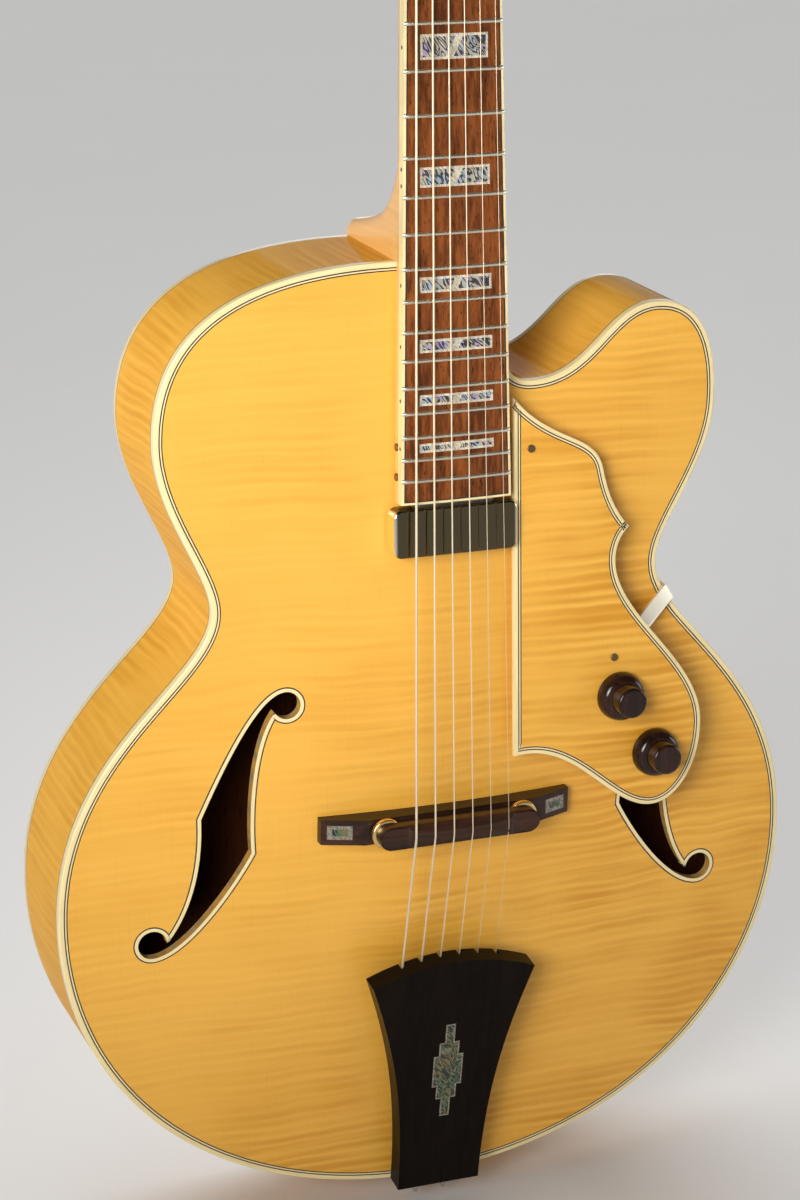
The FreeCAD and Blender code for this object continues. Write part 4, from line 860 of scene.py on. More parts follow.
def inner_shade(colours):
    """Dull dark wood of the inside, painted shade."""
    tone = colours.inner_shade
    return dark_wood("Inner shade", tone, tinted(tone, 0.7), base=0.7, strength=0.6, Specular_IOR_Level=0.05)


def ebony(colours):
    """Polished ebony."""
    return dark_wood("Ebony", colours.ebony_light, colours.ebony_dark, base=0.30, Specular_IOR_Level=0.06)


def bridge_wood(colours):
    """Dark brown wood of the bridge, its grain along X."""
    return dark_wood("Bridge wood", colours.bridge_light, colours.bridge_dark, base=0.34, turn=(0, 90, 0),
                     Specular_IOR_Level=0.3)


def cream(name, colours, stripes=()):
    """Cream plastic with faint fibres along the strip and black stripes between limits in millimetres."""
    material, tree, shader = new_material(name, Coat_Weight=0.4, Coat_Roughness=0.1)
    place, across = surface_place(tree)
    fibres = spread(tree, noise(tree, place, (1300.0, 30.0, 1300.0), 3.0), 0.3, 0.75)
    tone = mix_colour(tree, fibres, tinted(colours.ivory, 1.06), tinted(colours.ivory, 0.86))
    for low, high in stripes:
        mask = use_group(tree, "Stripe", Value=across, Low=low * MM, High=high * MM)["Mask"]
        tone = mix_colour(tree, mask, tone, colours.line)
    coat(tree, shader, tone, place, 0.32, 0.12)
    return material


def two_stripes(width):
    """Limits of two black stripes at the sides of a strip, each about a third of its width."""
    return [(0, 0.34 * width), (0.67 * width, width)]


def cast_cream(name, tone):
    """Cream or bone pieces without a map of their own: faint cloudy streaks."""
    material, tree, shader = new_material(name, Coat_Weight=0.3, Coat_Roughness=0.12)
    place = swapped(tree, object_place(tree))
    cloud = spread(tree, noise(tree, place, (160.0, 40.0, 160.0), 4.0), 0.3, 0.75)
    coat(tree, shader, mix_colour(tree, cloud, tinted(tone, 1.05), tinted(tone, 0.85)), place, 0.36, 0.12)
    return material


def black_trim(colours):
    """Black line with a faint sheen."""
    material, tree, shader = new_material("Black line", Coat_Weight=0.3, Coat_Roughness=0.1)
    place = object_place(tree)
    tone = mix_colour(tree, noise(tree, place, 300.0), colours.line, tinted(colours.line, 2.2))
    coat(tree, shader, tone, place, 0.35, 0.12)
    return material


# Scale of the figure, dark lines and three tints of each shell
SHELLS = {
    "Pearl": (2.2, (0.42, 0.36, 0.25), (0.66, 0.58, 0.42), (0.74, 0.64, 0.50), (0.56, 0.58, 0.54)),
    "Grey pearl": (2.2, (0.13, 0.11, 0.075), (0.26, 0.22, 0.15), (0.30, 0.25, 0.18), (0.22, 0.21, 0.17)),
    "Abalone": (1.3, (0.022, 0.022, 0.026), (0.30, 0.37, 0.44), (0.44, 0.39, 0.28), (0.32, 0.26, 0.40)),
    "Green shell": (1.3, (0.008, 0.010, 0.005), (0.15, 0.125, 0.040), (0.055, 0.11, 0.050),
                    (0.17, 0.145, 0.085)),
}


def shell(name):
    """Polished shell with fine growth lines."""
    material, tree, shader = new_material(name, Coat_Weight=0.8, Coat_Roughness=0.05)
    place = object_place(tree)
    values = dict(zip(("Scale", "Dark", "First", "Second", "Third"), SHELLS[name]))
    figure = use_group(tree, "Shell figure", Place=place, **values)
    coat(tree, shader, figure["Color"], place, 0.22, 0.12)
    return material


def metal(name, tone, base=0.22, metallic=1.0):
    """Polished or lacquered metal with uneven gloss and a slight change of tone."""
    material, tree, shader = new_material(name, Metallic=metallic)
    place = object_place(tree)
    shade = mix_colour(tree, noise(tree, place, 60.0, 4.0), tinted(tone, 1.08), tinted(tone, 0.86))
    coat(tree, shader, shade, place, base, 0.12, 0.05)
    return material


def gold(colours):
    """Bright gold plating."""
    return metal("Gold", colours.gold, 0.18)


def plain_steel(colours):
    """Steel of hidden fittings and of the tail cable."""
    return metal("Plain steel", colours.nickel)


def dark_screw(colours):
    """Browned steel of screws and studs."""
    return metal("Dark screw", colours.screw, 0.30)


def wound_wire(colours):
    """Wound string: fine turns along its length."""
    material, tree, shader = new_material("Wound wire", Metallic=0.5)
    place = surface_place(tree)[0]
    tone = mix_colour(tree, bands(tree, place, 640.0), tinted(colours.string, 0.8), colours.string)
    coat(tree, shader, tone, place, 0.42, 0.1)
    return material


SHARED_MAKERS = {"Inner shade": inner_shade, "Ebony": ebony, "Bridge wood": bridge_wood, "Gold": gold,
                 "Black line": black_trim, "Plain steel": plain_steel, "Dark screw": dark_screw}


def shared(name, colours):
    """A material that several pieces use, made on first use."""
    ready = bpy.data.materials.get(name)
    if ready:
        return ready
    return shell(name) if name in SHELLS else SHARED_MAKERS[name](colours)


# Sound box
TOP_SPACING = 4.0
BACK_SPACING = 5.0
SIDE_LINE = 0.6
LINE_LIFT = 0.05
TRIM_LIFT = 0.1
# A quarter circle is shorter than the two sides of its corner by (2 - pi / 2) of its radius
CORNER_SAVING = 0.43


def make_plate(name, node_name, loops, spacing, wood, inner):
    """An arched plate of even thickness, its inner side in dark painted shade; the back is the top's mirror
    image.
    """
    plan, triangles = filled(loops, spacing)
    outer = top_level(plan[:, 0], plan[:, 1])
    is_top = name == "top"
    levels = (outer, outer + PLATE) if is_top else (-outer - PLATE, -outer)
    mesh = plate_mesh(plan, triangles, *levels)
    piece = show(name, mesh, wood, nodes=[node_name])
    painted_shade_inside(piece, inner, 1 if is_top else 0)


def make_rims(colours):
    """Bent sides: each half of the outline as a band between the plates."""
    wood = maple("Rim maple", colours, by_surface=True, strength=0.6, gloss=0.15, shine=0.0)
    front = FRONT + PLATE
    back = BACK - PLATE
    for half, name in enumerate(("rim_bass", "rim_treble")):
        outer = body_halves(0.0)[half]
        inner = body_halves(RIM)[half]
        rows = [(outer, front), (outer, 0.0), (outer, back), (inner, back), (inner, front)]
        points = np.stack([at_depth(line, depth) for line, depth in rows])
        mesh = skin(points, wrap=(True, False), ends=True)
        show(name + "_wood", mesh, wood, nodes=[name])


def edge_strip(width, radius, low, high):
    """Cream edge of a plate: across the face, round a quarter circle, down the side and back inside."""
    toward = 1 if high > low else -1
    rows = [(width, low)]
    for a in np.linspace(0, math.pi / 2, 5):
        rows.append((radius * (1 - math.sin(a)), low + toward * radius * (1 - math.cos(a))))
    rows += [(0.0, high), (width, high)]
    points = np.stack([at_depth(body_loop(inset), depth) for inset, depth in rows])
    return skin(points, wrap=(True, True))


def make_edges(sizes, colours):
    """Cream edges with a black line at the foot of their sides, and the lines inside the top's edge."""
    edge = sizes.binding / MM
    radius = sizes.binding_round / MM
    lines = sizes.lines / MM
    foot = edge + PLATE - CORNER_SAVING * radius
    for name, node_name, low, high in (("top_edge", "top_binding", FRONT, FRONT + PLATE),
                                       ("back_edge", "back_binding", BACK, BACK - PLATE)):
        mesh = edge_strip(edge, radius, low, high)
        show(name, mesh, cream(name, colours, [(foot - SIDE_LINE, foot)]), nodes=[node_name])
    rows = np.stack([on_top(body_loop(edge + lines * k), LINE_LIFT) for k in (0, 0.5, 1)])
    show("top_lines", skin(rows, wrap=(False, True), closed=False, flip=True),
         cream("Edge lines", colours, two_stripes(lines)), nodes=["top_purfling"])


def make_body(sizes, colours):
    """Arched plates, sides, cream edges and edge lines."""
    outline = body_loop(sizes.binding / MM)
    holes = [hole_loop(sign) for sign in (-1, 1)]
    inner = shared("Inner shade", colours)
    top_wood = maple("Top maple", colours, strength=0.85, painted_light_fade=0.5)
    make_plate("top", "top_plate", [outline] + holes, TOP_SPACING, top_wood, inner)
    back_wood = maple("Back maple", colours, strength=0.8)
    make_plate("back", "back_plate", [outline], BACK_SPACING, back_wood, inner)
    make_rims(colours)
    make_edges(sizes, colours)


# Sound holes
HOLE_UPPER = (84.0, 281.0)
HOLE_LOWER = (153.5, 158.5)
HOLE_EYES = (7.0, 7.5)
HOLE_OUTER_NICK = (9.6, 4.4)
HOLE_INNER_NICK = (-16.3, -16.0)
HOLE_UPPER_CUSP = (7.7, -5.4)
HOLE_LOWER_CUSP = (-9.2, 2.2)
HOLE_OUTER_HANDLES = (((15.0, 0.0), (-10.0, 22.0)), ((-1.0, -24.2), (-11.3, 14.8)))
HOLE_INNER_HANDLES = (((-17.0, 0.0), (9.5, -18.0)), ((2.0, 26.0), (9.5, -15.0)))


def eye_arc(centre, radius, cusp, end_angle, steps=40):
    """Arc of an eye from where the line from the cusp to the arc's end first meets it, round to its end."""
    end = radius * np.array([math.cos(end_angle), math.sin(end_angle)])
    step = end - cusp
    a, b, c = step @ step, 2 * cusp @ step, cusp @ cusp - radius**2
    entry = cusp + step * (-b - math.sqrt(b * b - 4 * a * c)) / (2 * a)
    start_angle = math.atan2(entry[1], entry[0])
    while start_angle < end_angle:
        start_angle += 2 * math.pi
    angle = np.linspace(start_angle, end_angle, steps)
    return centre + radius * np.stack([np.cos(angle), np.sin(angle)], axis=1)


def hole_loop(sign):
    """Closed outline of a sound hole: two sides bent at a nick, each ending at a cusp beside a round eye."""
    upper, lower = np.array(HOLE_UPPER), np.array(HOLE_LOWER)
    middle = (upper + lower) / 2
    upper_cusp, lower_cusp = np.array(HOLE_UPPER_CUSP), np.array(HOLE_LOWER_CUSP)
    outer = [upper + (0, HOLE_EYES[0]), middle + HOLE_OUTER_NICK, lower + lower_cusp]
    inner = [lower - (0, HOLE_EYES[1]), middle + HOLE_INNER_NICK, upper + upper_cusp]
    loop = np.concatenate([
        chain(from_handles(outer, HOLE_OUTER_HANDLES)),
        eye_arc(lower, HOLE_EYES[1], lower_cusp, -math.pi / 2)[:-1],
        chain(from_handles(inner, HOLE_INNER_HANDLES)),
        eye_arc(upper, HOLE_EYES[0], upper_cusp, math.pi / 2)[:-1],
    ])
    return loop * (sign, 1)


def make_sound_holes(sizes, colours):
    """Cream edges of the sound holes with a black line around them."""
    trim = sizes.hole_trim / MM
    line = sizes.hole_line / MM
    under = -PLATE - TRIM_LIFT
    edges = []
    lines = []
    for sign in (-1, 1):
        loop = hole_loop(sign)
        wide = offset(loop, -trim)
        rows = [(wide, TRIM_LIFT), (loop, TRIM_LIFT), (loop, under), (wide, under)]
        edges.append(np.stack([on_top(plan, lift) for plan, lift in rows]))
        lines.append(np.stack([on_top(plan, LINE_LIFT) for plan in (offset(loop, -trim - line), loop)]))
    show("sound_hole_edges", skin(edges, wrap=(True, True)), cream("Hole edge", colours),
         nodes=["f_hole_bindings"])
    show("sound_hole_lines", skin(lines, wrap=(False, True), closed=False),
         shared("Black line", colours))


def make_inside(colours):
    """Blocks, linings and bars inside the body, in the dark wood of painted shade."""
    dress(shared("Inner shade", colours), "neck_block", "tail_block", "linings", "tone_bars", "guard_block")


# Neck
FRET_SEAT = 0.05
FRET_FULL = 0.955
BOARD_LINE_LIFT = 0.06


def fret_place(fret):
    """Distance from the nut to a fret: scale times (1 - 2^(-fret / 12))."""
    return SCALE * (1 - 2.0 ** (-np.asarray(fret, float) / 12))


def board_half(down):
    """Half width of the fingerboard at a distance down from the nut."""
    return (NUT_WIDTH + BOARD_TAPER * down) / 2


def camber(x):
    """Depth of the fingerboard's rounded face below its crown line."""
    return BOARD_RADIUS - np.sqrt(BOARD_RADIUS**2 - x**2)


def make_neck(colours):
    """Neck with heel, headstock veneer, nut, truss rod and its cover."""
    wood = maple("Neck maple", colours, strength=0.30, light=colours.neck_light)
    smooth_copy("neck", wood, angle=50)
    for name in ("headstock_veneer", "truss_rod_cover"):
        smooth_copy(name, shared("Ebony", colours), bevel=0.4)
    smooth_copy("nut", cast_cream("Bone", colours.bone), bevel=0.3)
    dress(shared("Plain steel", colours), "truss_rod")


def make_board_line(edge, line, colours):
    """Black line inside the board's cream edge: down the bass side, across the end and up again."""
    rows = []
    for inset in (edge, edge + line):
        end = BOARD_END - inset
        down = np.concatenate([np.linspace(0, end, 40), np.full(24, end), np.linspace(end, 0, 40)])
        side = np.concatenate([np.full(40, -1.0), np.linspace(-1, 1, 24), np.full(40, 1.0)])
        x = side * (board_half(down) - inset)
        rows.append(put(np.stack([x, camber(x) - BOARD_LINE_LIFT, -down], axis=1), NECK))
    show("board_line", skin(rows, closed=False), shared("Black line", colours))


def make_frets(width, height, colours):
    """Fret wires: half an ellipse over the cambered board, falling off by a square root at both ends."""
    down = fret_place(np.arange(1, FRETS + 1))[:, None, None]
    across = np.linspace(-1, 1, 25)
    ends = np.sqrt(np.clip(1 - (np.abs(across) - FRET_FULL) / (1 - FRET_FULL), 0.05, 1))
    angle = np.linspace(0, np.pi, 9)[:, None]
    high = height * np.sin(angle) * ends
    z = -down + 0.5 * width * np.cos(angle)
    x, high, z = np.broadcast_arrays(across * board_half(down), high, z)
    points = put(np.stack([x, camber(x) - high + FRET_SEAT, z], axis=-1), NECK)
    show("fret_wires", skin(points, wrap=(True, False), ends=True),
         metal("Fret wire", colours.fret, 0.28), nodes=["frets"])


def make_fingerboard(sizes, colours):
    """Rosewood board with cream edge, edge lines, crowned frets, framed shell blocks and side dots."""
    wood = dark_wood("Rosewood", colours.rosewood_light, colours.rosewood_dark, base=0.45,
                     turn=(NECK_ANGLE, 0, 0), Specular_IOR_Level=0.1)
    dress(wood, "fingerboard")
    dress(cast_cream("Board edge", colours.ivory), "fingerboard_binding")
    dress(shared("Pearl", colours), "position_inlays")
    dress(shared("Abalone", colours), "inlay_panels")
    dress(shared("Black line", colours), "side_dots")
    make_board_line(sizes.board_binding / MM, sizes.board_line / MM, colours)
    make_frets(sizes.fret_width / MM, sizes.fret_height / MM, colours)


# Strings
WOUND = 4
NUT_SPREAD = 35.0
NUT_RISE = 1.2
NUT_PLACE = 2.5
SADDLE_SPREAD = 51.0
TAIL_SPREAD = 52.8
TAIL_DEPTH = 9.2
TAIL_INSET = 10.7
POST_RADIUS = 3.0
POST_GAP = 0.05
WRAP_DEPTH = -8.0
WRAP_TURNS = 3
POST_SIDES = np.array([-1, -1, -1, 1, 1, 1])
POST_ROWS = TUNER_ROWS + TUNER_ROWS[::-1]


def string_spot(spread_width):
    """Sideways places of six strings spread evenly."""
    return spread_width * (np.arange(6) / 5 - 0.5)


def crown_place(x):
    """Height of the tailpiece's curved end at a sideways place."""
    return TAIL_LENGTH - CROWN_DROP * (x / CROWN_HALF) ** 2


def six_points(x, depth, z, local):
    """Six points of a local frame; each coordinate is one value or one for each string."""
    return put(np.stack(np.broadcast_arrays(x, depth, z), axis=1), local)


def string_lines(diameters):
    """Post, nut, saddle and tailpiece points of the six strings' centre lines."""
    radius = diameters / 2
    post_x = POST_SIDES * (TUNER_X - POST_RADIUS - radius - POST_GAP)
    post = six_points(post_x, WRAP_DEPTH, POST_ROWS, HEAD)
    nut_x = string_spot(NUT_SPREAD)
    nut = six_points(nut_x, nut_x**2 / (2 * BOARD_RADIUS) - NUT_RISE - radius, NUT_PLACE, NECK)
    x = string_spot(SADDLE_SPREAD)
    saddle = six_points(x, x**2 / (2 * BOARD_RADIUS) - CREST_RISE - radius, -SADDLE_PLACE, NECK)
    tail_x = string_spot(TAIL_SPREAD)
    anchor = six_points(tail_x, TAIL_DEPTH, crown_place(tail_x) - TAIL_INSET, TAIL)
    return post, nut, saddle, anchor


def make_run(name, start, end, steps, radii, material, moving):
    """One run of several strings; a moving run gets no body here."""
    share = np.linspace(0, 1, steps)[None, :, None]
    path = start[:, None] * (1 - share) + end[:, None] * share
    body = None if moving else ROOT
    return show(name, tubes(path, radii), material, body, ["strings"])


def make_strings(sizes, colours):
    """Six strings in runs: head, speaking length and tail, the last two on no body."""
    diameters = np.array(sizes.strings) / MM
    post, nut, saddle, anchor = string_lines(diameters)
    wound = wound_wire(colours)
    plain = metal("Plain wire", colours.string, 0.34, metallic=0.75)
    runs = (("head", post, nut, 3), ("main", nut, saddle, 33), ("tail", anchor, saddle, 17))
    for label, chosen, material in (("wound", slice(0, WOUND), wound), ("plain", slice(WOUND, 6), plain)):
        for run, start, end, steps in runs:
            name = "strings_%s_%s" % (label, run)
            moving = run != "head"
            piece = make_run(name, start[chosen], end[chosen], steps, diameters[chosen] / 2, material, moving)
            if moving:
                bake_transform(piece)
    for number in range(6):
        make_wrap(number, diameters[number] / 2, wound if number < WOUND else plain)


def make_wrap(number, radius, material):
    """Turns of a string round its post: a helix that drops one string's width for each turn."""
    side = POST_SIDES[number]
    turn = np.linspace(0, WRAP_TURNS * 2 * np.pi, 97)
    angle = turn + (0 if side < 0 else np.pi)
    ring = POST_RADIUS + radius
    path = np.stack([side * TUNER_X + ring * np.cos(angle), WRAP_DEPTH + turn / (2 * np.pi) * 2 * radius,
                     POST_ROWS[number] + ring * np.sin(angle)], axis=1)
    name = "string_wrap_%d" % (number + 1)
    mesh = tubes([put(path, HEAD)], [radius], 8)
    show(name, mesh, material, "tuner_post_%d" % (number + 1))


def make_tuners(colours):
    """Six gold tuners: housings, bushings, posts and buttons."""
    plating = shared("Gold", colours)
    smooth_copy("tuner_housings", plating, bevel=0.7)
    smooth_copy("tuner_bushings", plating, bevel=0.3)
    for number in range(1, 7):
        for kind in ("tuner_post_%d", "tuner_button_%d"):
            smooth_copy(kind % number, plating, kind % number, bevel=0.2)


# Bridge
SADDLE_HALF = 6.3
SADDLE_CREST = 1.6
SADDLE_ROOF = 2.8
STRING_BITE = 0.1
SADDLE_FLOOR = 10.0
SADDLE_EDGE = 0.8
ROOF_END = 29.5
ROOF_BEVEL = 2.5
INLAY_X = 59.5
INLAY_HALF = (3.9, 1.9)
INLAY_LIFT = 0.08
PANEL_DEPTH = 1.0
PANEL_ROUND = 0.05
BASE_FLAT = 47.0
BASE_HALF = 68.5
BASE_RISE = 9.5
BASE_END_RISE = 5.0
WHEEL_PROFILE = ((2.05, 0.0), (7.2, 0.0), (7.7, 0.3), (8.0, 0.7), (8.0, 2.3), (7.7, 2.7), (7.2, 3.0),
                 (2.05, 3.0), (2.05, 0.0))
WHEEL_TEETH = 48
WHEEL_KNURL = 0.3


def saddle_mesh():
    """Saddle: a section of floor, rounded sides and a ridge, carried along X between round ends.

    The half width is r = 6.3 up to the studs and sqrt(r^2 - d^2) at a distance d past them. The ridge
    falls by x^2 / 2R from the middle, as the strings do, and sinks to the level of the ends over a short
    bevel.
    """
    turn = np.linspace(0, np.pi / 2, 7)
    round_end = STUD_X + SADDLE_HALF * np.sin(turn)
    flat_roof = np.linspace(0, ROOF_END - ROOF_BEVEL, 6)
    bevel = np.linspace(ROOF_END - ROOF_BEVEL, ROOF_END, 7)[1:]
    half = np.concatenate([flat_roof, bevel, [0.5 * (ROOF_END + STUD_X)], round_end])
    x = np.concatenate([-half[:0:-1], half])
    past = np.clip(np.abs(x) - STUD_X, 0, SADDLE_HALF)
    width = np.maximum(np.sqrt(SADDLE_HALF**2 - past**2), 0.02)
    fall = x**2 / (2 * BOARD_RADIUS) + STRING_BITE
    rise = (SADDLE_ROOF - fall) * ramp((ROOF_END - np.abs(x)) / ROOF_BEVEL)
    ridge = width - (SADDLE_HALF - SADDLE_CREST) * rise / SADDLE_ROOF
    edge = np.minimum(SADDLE_EDGE, 0.4 * width)
    top = np.full_like(x, SADDLE_ROOF)
    floor = np.full_like(x, SADDLE_FLOOR)
    right = [
        (width - edge, floor),
        (width, floor - edge),
        (width, top + 1.0),
        (width - 0.25 * edge, top + 0.3),
        (width - edge, top - 0.1 * rise),
        (0.35 * ridge + 0.65 * width - edge, top - 0.42 * rise),
        (0.7 * ridge + 0.3 * width - 0.5 * edge, top - 0.80 * rise),
        (0.9 * ridge, top - 0.97 * rise),
        (0.5 * ridge, top - rise),
    ]
    left = [(-across, depth) for across, depth in right[::-1]]
    points = [np.stack([x, CREST[1] + depth, CREST[2] + across], axis=1) for across, depth in right + left]
    return skin(np.stack(points), wrap=(True, False), ends=True, angle=50)


def make_bridge_shells(colours):
    """Shell panels on the base's two sloping ends, each in a frame that lies along the slope."""
    flat = float(top_level(0, CREST[2])) - BASE_RISE
    end = float(top_level(BASE_HALF, CREST[2])) - BASE_END_RISE
    slope = (end - flat) / (BASE_HALF - BASE_FLAT)
    angle = math.atan(slope)
    loop = np.array([(-1, -1), (1, -1), (1, 1), (-1, 1)]) * INLAY_HALF
    for side, sign in (("bass", -1), ("treble", 1)):
        along = [math.cos(angle), sign * math.sin(angle), 0.0]
        inward = [-sign * math.sin(angle), math.cos(angle), 0.0]
        origin = np.array([sign * INLAY_X, flat + slope * (INLAY_X - BASE_FLAT), CREST[2]])
        local = (origin, np.array([along, inward, [0.0, 0.0, 1.0]]))
        name = "bridge_shell_" + side
        mesh = rounded_slab(loop, local, -INLAY_LIFT, PANEL_DEPTH, PANEL_ROUND)
        show(name, mesh, shared("Green shell", colours))


def make_wheels(colours):
    """Knurled thumbwheels under the saddle."""
    profile = np.array(WHEEL_PROFILE) + (0.0, CREST[1] + SADDLE_FLOOR)
    for name, sign in (("bridge_wheel_bass", -1), ("bridge_wheel_treble", 1)):
        centre = (sign * STUD_X, CREST[2])
        mesh = lathe(profile, centre, BODY, 288, WHEEL_KNURL, WHEEL_TEETH)
        show(name + "_finish", mesh, shared("Gold", colours), name, [name])


def make_bridge(colours):
    """Dark base fitted to the arch, framed shell inlays, studs, knurled wheels and the saddle."""
    wood = shared("Bridge wood", colours)
    smooth_copy("bridge_base", wood, bevel=0.7)
    smooth_copy("bridge_inlays", shared("Grey pearl", colours), bevel=0.1)
    smooth_copy("bridge_studs", shared("Dark screw", colours))
    show("saddle", saddle_mesh(), wood, "bridge_saddle", ["bridge_saddle"])
    make_bridge_shells(colours)
    make_wheels(colours)


# Tailpiece
ORNAMENT_STEPS = ((2.7, 28.5), (5.6, 17.5), (8.3, 9.5))
ORNAMENT_PLACE = 72.0
BORDER_LIFT = 0.05


def ornament_loop():
    """Stepped lozenge: bars of rising width and falling length as one outline."""
    corners = []
    for number, (wide, high) in enumerate(ORNAMENT_STEPS):
        if number:
            corners.append((ORNAMENT_STEPS[number - 1][0], high))
        corners.append((wide, high))
    right = np.array(corners)
    right = np.concatenate([right, right[::-1] * (1, -1)])
    return np.concatenate([right, -right]) + (0, ORNAMENT_PLACE)


def make_tailpiece(sizes, colours):
    """Ebony tailpiece, its stepped shell ornament, tail cable, the block under it and the end pin."""
    black = shared("Ebony", colours)
    smooth_copy("tailpiece", black, bevel=0.8)
    loop = ornament_loop()
    border = rounded_slab(loop, TAIL, -BORDER_LIFT, PANEL_DEPTH, PANEL_ROUND)
    show("ornament_border", border, shared("Grey pearl", colours), nodes=["tailpiece_inlay"])
    inner = offset(loop, sizes.ornament_border / MM)
    centre = rounded_slab(inner, TAIL, -2 * BORDER_LIFT, PANEL_DEPTH, PANEL_ROUND)
    show("ornament_shell", centre, shared("Green shell", colours))
    smooth_copy("tail_cable", shared("Plain steel", colours), angle=60)
    smooth_copy("tail_saddle", black, bevel=0.5)
    smooth_copy("output_jack", shared("Gold", colours), bevel=0.4)


# Pickguard
GUARD_STOPS = ((33.4, -420.6), (82.8, -461.0), (97.5, -492.0), (89.8, -509.0), (139.3, -600.0),
               (111.3, -642.5), (33.4, -607.0))
GUARD_HANDLES = (((22.0, -26.0), (-4.0, 20.0)), ((2.4, -12.0), (-8.0, 8.0)), ((-5.0, -4.0), (0.0, 7.0)),
                 ((0.0, -30.0), (0.0, 34.0)), ((0.0, -24.0), (15.0, 0.0)), ((-24.0, 0.0), (34.0, 6.0)))
GUARD_TOP = 7.0
GUARD_THICKNESS = 3.2
GUARD_SPACING = 5.0
# Inset and depth below the guard's face of its rounded edge
GUARD_ROUND = ((0.5, -0.02), (0.15, 0.13), (0.0, 0.5))
GUARD_LINE_LIFT = 0.04


def guard_loop():
    """Closed outline of the pickguard in the neck's frame."""
    curved = chain(from_handles(GUARD_STOPS, GUARD_HANDLES))
    share = np.linspace(0, 1, 30)[1:-1, None]
    return np.concatenate([curved, curved[-1] * (1 - share) + curved[0] * share])


def guard_rows(loop, rows):
    """The guard's outline drawn in and set at a depth in the neck's frame, once for each row."""
    return np.stack([put(at_depth(offset(loop, inset), depth), NECK) for inset, depth in rows])


def make_pickguard(sizes, colours):
    """Flamed pickguard with cream edge and lines, and its strap."""
    edge = sizes.guard_edge / MM
    lines = sizes.guard_lines / MM
    loop = guard_loop()
    floor = GUARD_TOP + GUARD_THICKNESS
    plan, triangles = filled([offset(loop, edge)], GUARD_SPACING)
    mesh = plate_mesh(plan, triangles, GUARD_TOP, floor, NECK)
    show("guard_wood", mesh, maple("Guard maple", colours, strength=0.95), nodes=["pickguard"])
    rows = [(edge, GUARD_TOP + GUARD_ROUND[0][1])]
    rows += [(inset, GUARD_TOP + depth) for inset, depth in GUARD_ROUND]
    rows += [(0.0, floor), (edge, floor)]
    show("guard_edge", skin(guard_rows(loop, rows), wrap=(True, True)),
         cream("Guard edge", colours), nodes=["pickguard_binding"])
    rows = [(edge + lines * k, GUARD_TOP - GUARD_LINE_LIFT) for k in (0, 0.5, 1)]
    mesh = skin(guard_rows(loop, rows), wrap=(False, True), closed=False, flip=True)
    show("guard_lines", mesh, cream("Guard lines", colours, two_stripes(lines)))
    strap_metal = metal("Pale gold", colours.pale_gold, 0.3, metallic=0.7)
    smooth_copy("pickguard_bracket", strap_metal, bevel=0.3)


# Pickup
# Width of the painted bright reflection round each end of the pickup cover, and where it is full
END_REFLECTION_WIDTH = 2.2
END_REFLECTION_FULL = 0.4


def painted_reflection_cover(colours):
    """Mirror plating painted dark as a painted reflection of a dark room, with a painted bright reflection
    round the two ends of the cover.
    """
    material, tree, shader = new_material("Cover", Metallic=1.0)
    place = object_place(tree)
    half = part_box("pickup_cover")[1][0]
    sideways = math_node(tree, "ABSOLUTE", parts_of(tree, place)["X"])
    painted_reflection_ends = spread(tree, sideways, half - END_REFLECTION_WIDTH * MM, half - END_REFLECTION_FULL * MM)
    cloud = mix_colour(tree, noise(tree, place, 60.0, 4.0), colours.cover, tinted(colours.cover, 0.8))
    # Painted bright reflection at the cover's two ends, in the strap's pale gold
    coat(tree, shader, mix_colour(tree, painted_reflection_ends, cloud, colours.pale_gold), place, 0.10, 0.05)
    return material


def make_pickup(colours):
    """Mirror cover, coils, base and bracket of the floating pickup."""
    smooth_copy("pickup_cover", painted_reflection_cover(colours), angle=50)
    dress(shared("Black line", colours), "pickup_coils")
    dress(shared("Plain steel", colours), "pickup_mounting")


# Controls
KNOB_PLACES = {"volume_knob": (92.1, -581.0), "tone_knob": (112.2, -613.6)}
KNOB_GAP = 0.6
KNOB_HEIGHT = 16.8
KNOB_SHOULDER = 7.6
KNOB_BELLY = 11.4
KNOB_HOLLOW = (7.2, 3.4)
SHAFT_RADIUS = 3.0
SHAFT_LENGTH = 9.6


def knob_profile(skirt, cap, floor):
    """Section of a knob from its crown over a rounded cap and a domed skirt to its hollow and shaft."""
    top = floor - KNOB_HEIGHT
    neck = floor - KNOB_SHOULDER
    hollow, ceiling = KNOB_HOLLOW[0], floor - KNOB_HOLLOW[1]
    rim = [(cap - 2.0, top), (cap - 0.6, top), (cap, top + 0.6), (cap, top + 1.6)]
    dome = [(cap + 0.5, neck + 0.1), (KNOB_BELLY, neck + 0.4), (skirt, floor - 3.8), (skirt, floor - 1.2)]
    foot = [(skirt, floor - 0.4), (skirt - 0.4, floor), (hollow, floor), (hollow, ceiling)]
    shaft = [(SHAFT_RADIUS, ceiling), (SHAFT_RADIUS, floor + SHAFT_LENGTH), (0.0, floor + SHAFT_LENGTH)]
    return np.concatenate([
        [(0.0, top + 0.3), (cap - 2.2, top)],
        cubic(rim, 8)[0],
        [(cap - 0.1, neck - 0.4), (cap + 0.1, neck)],
        cubic(dome, 12)[0],
        foot,
        shaft,
    ])


def make_controls(sizes, colours):
    """Turned volume and tone knobs and what they stand on."""
    wood = dark_wood("Knob rosewood", colours.knob_light, colours.knob_dark, base=0.14,
                     Specular_IOR_Level=0.4)
    profile = knob_profile(sizes.knob_skirt / MM, sizes.knob_cap / MM, GUARD_TOP - KNOB_GAP)
    for name, centre in KNOB_PLACES.items():
        mesh = lathe(profile, centre, NECK, 96)
        show(name + "_finish", mesh, wood, name, [name])
    dress(shared("Plain steel", colours), "control_pots")


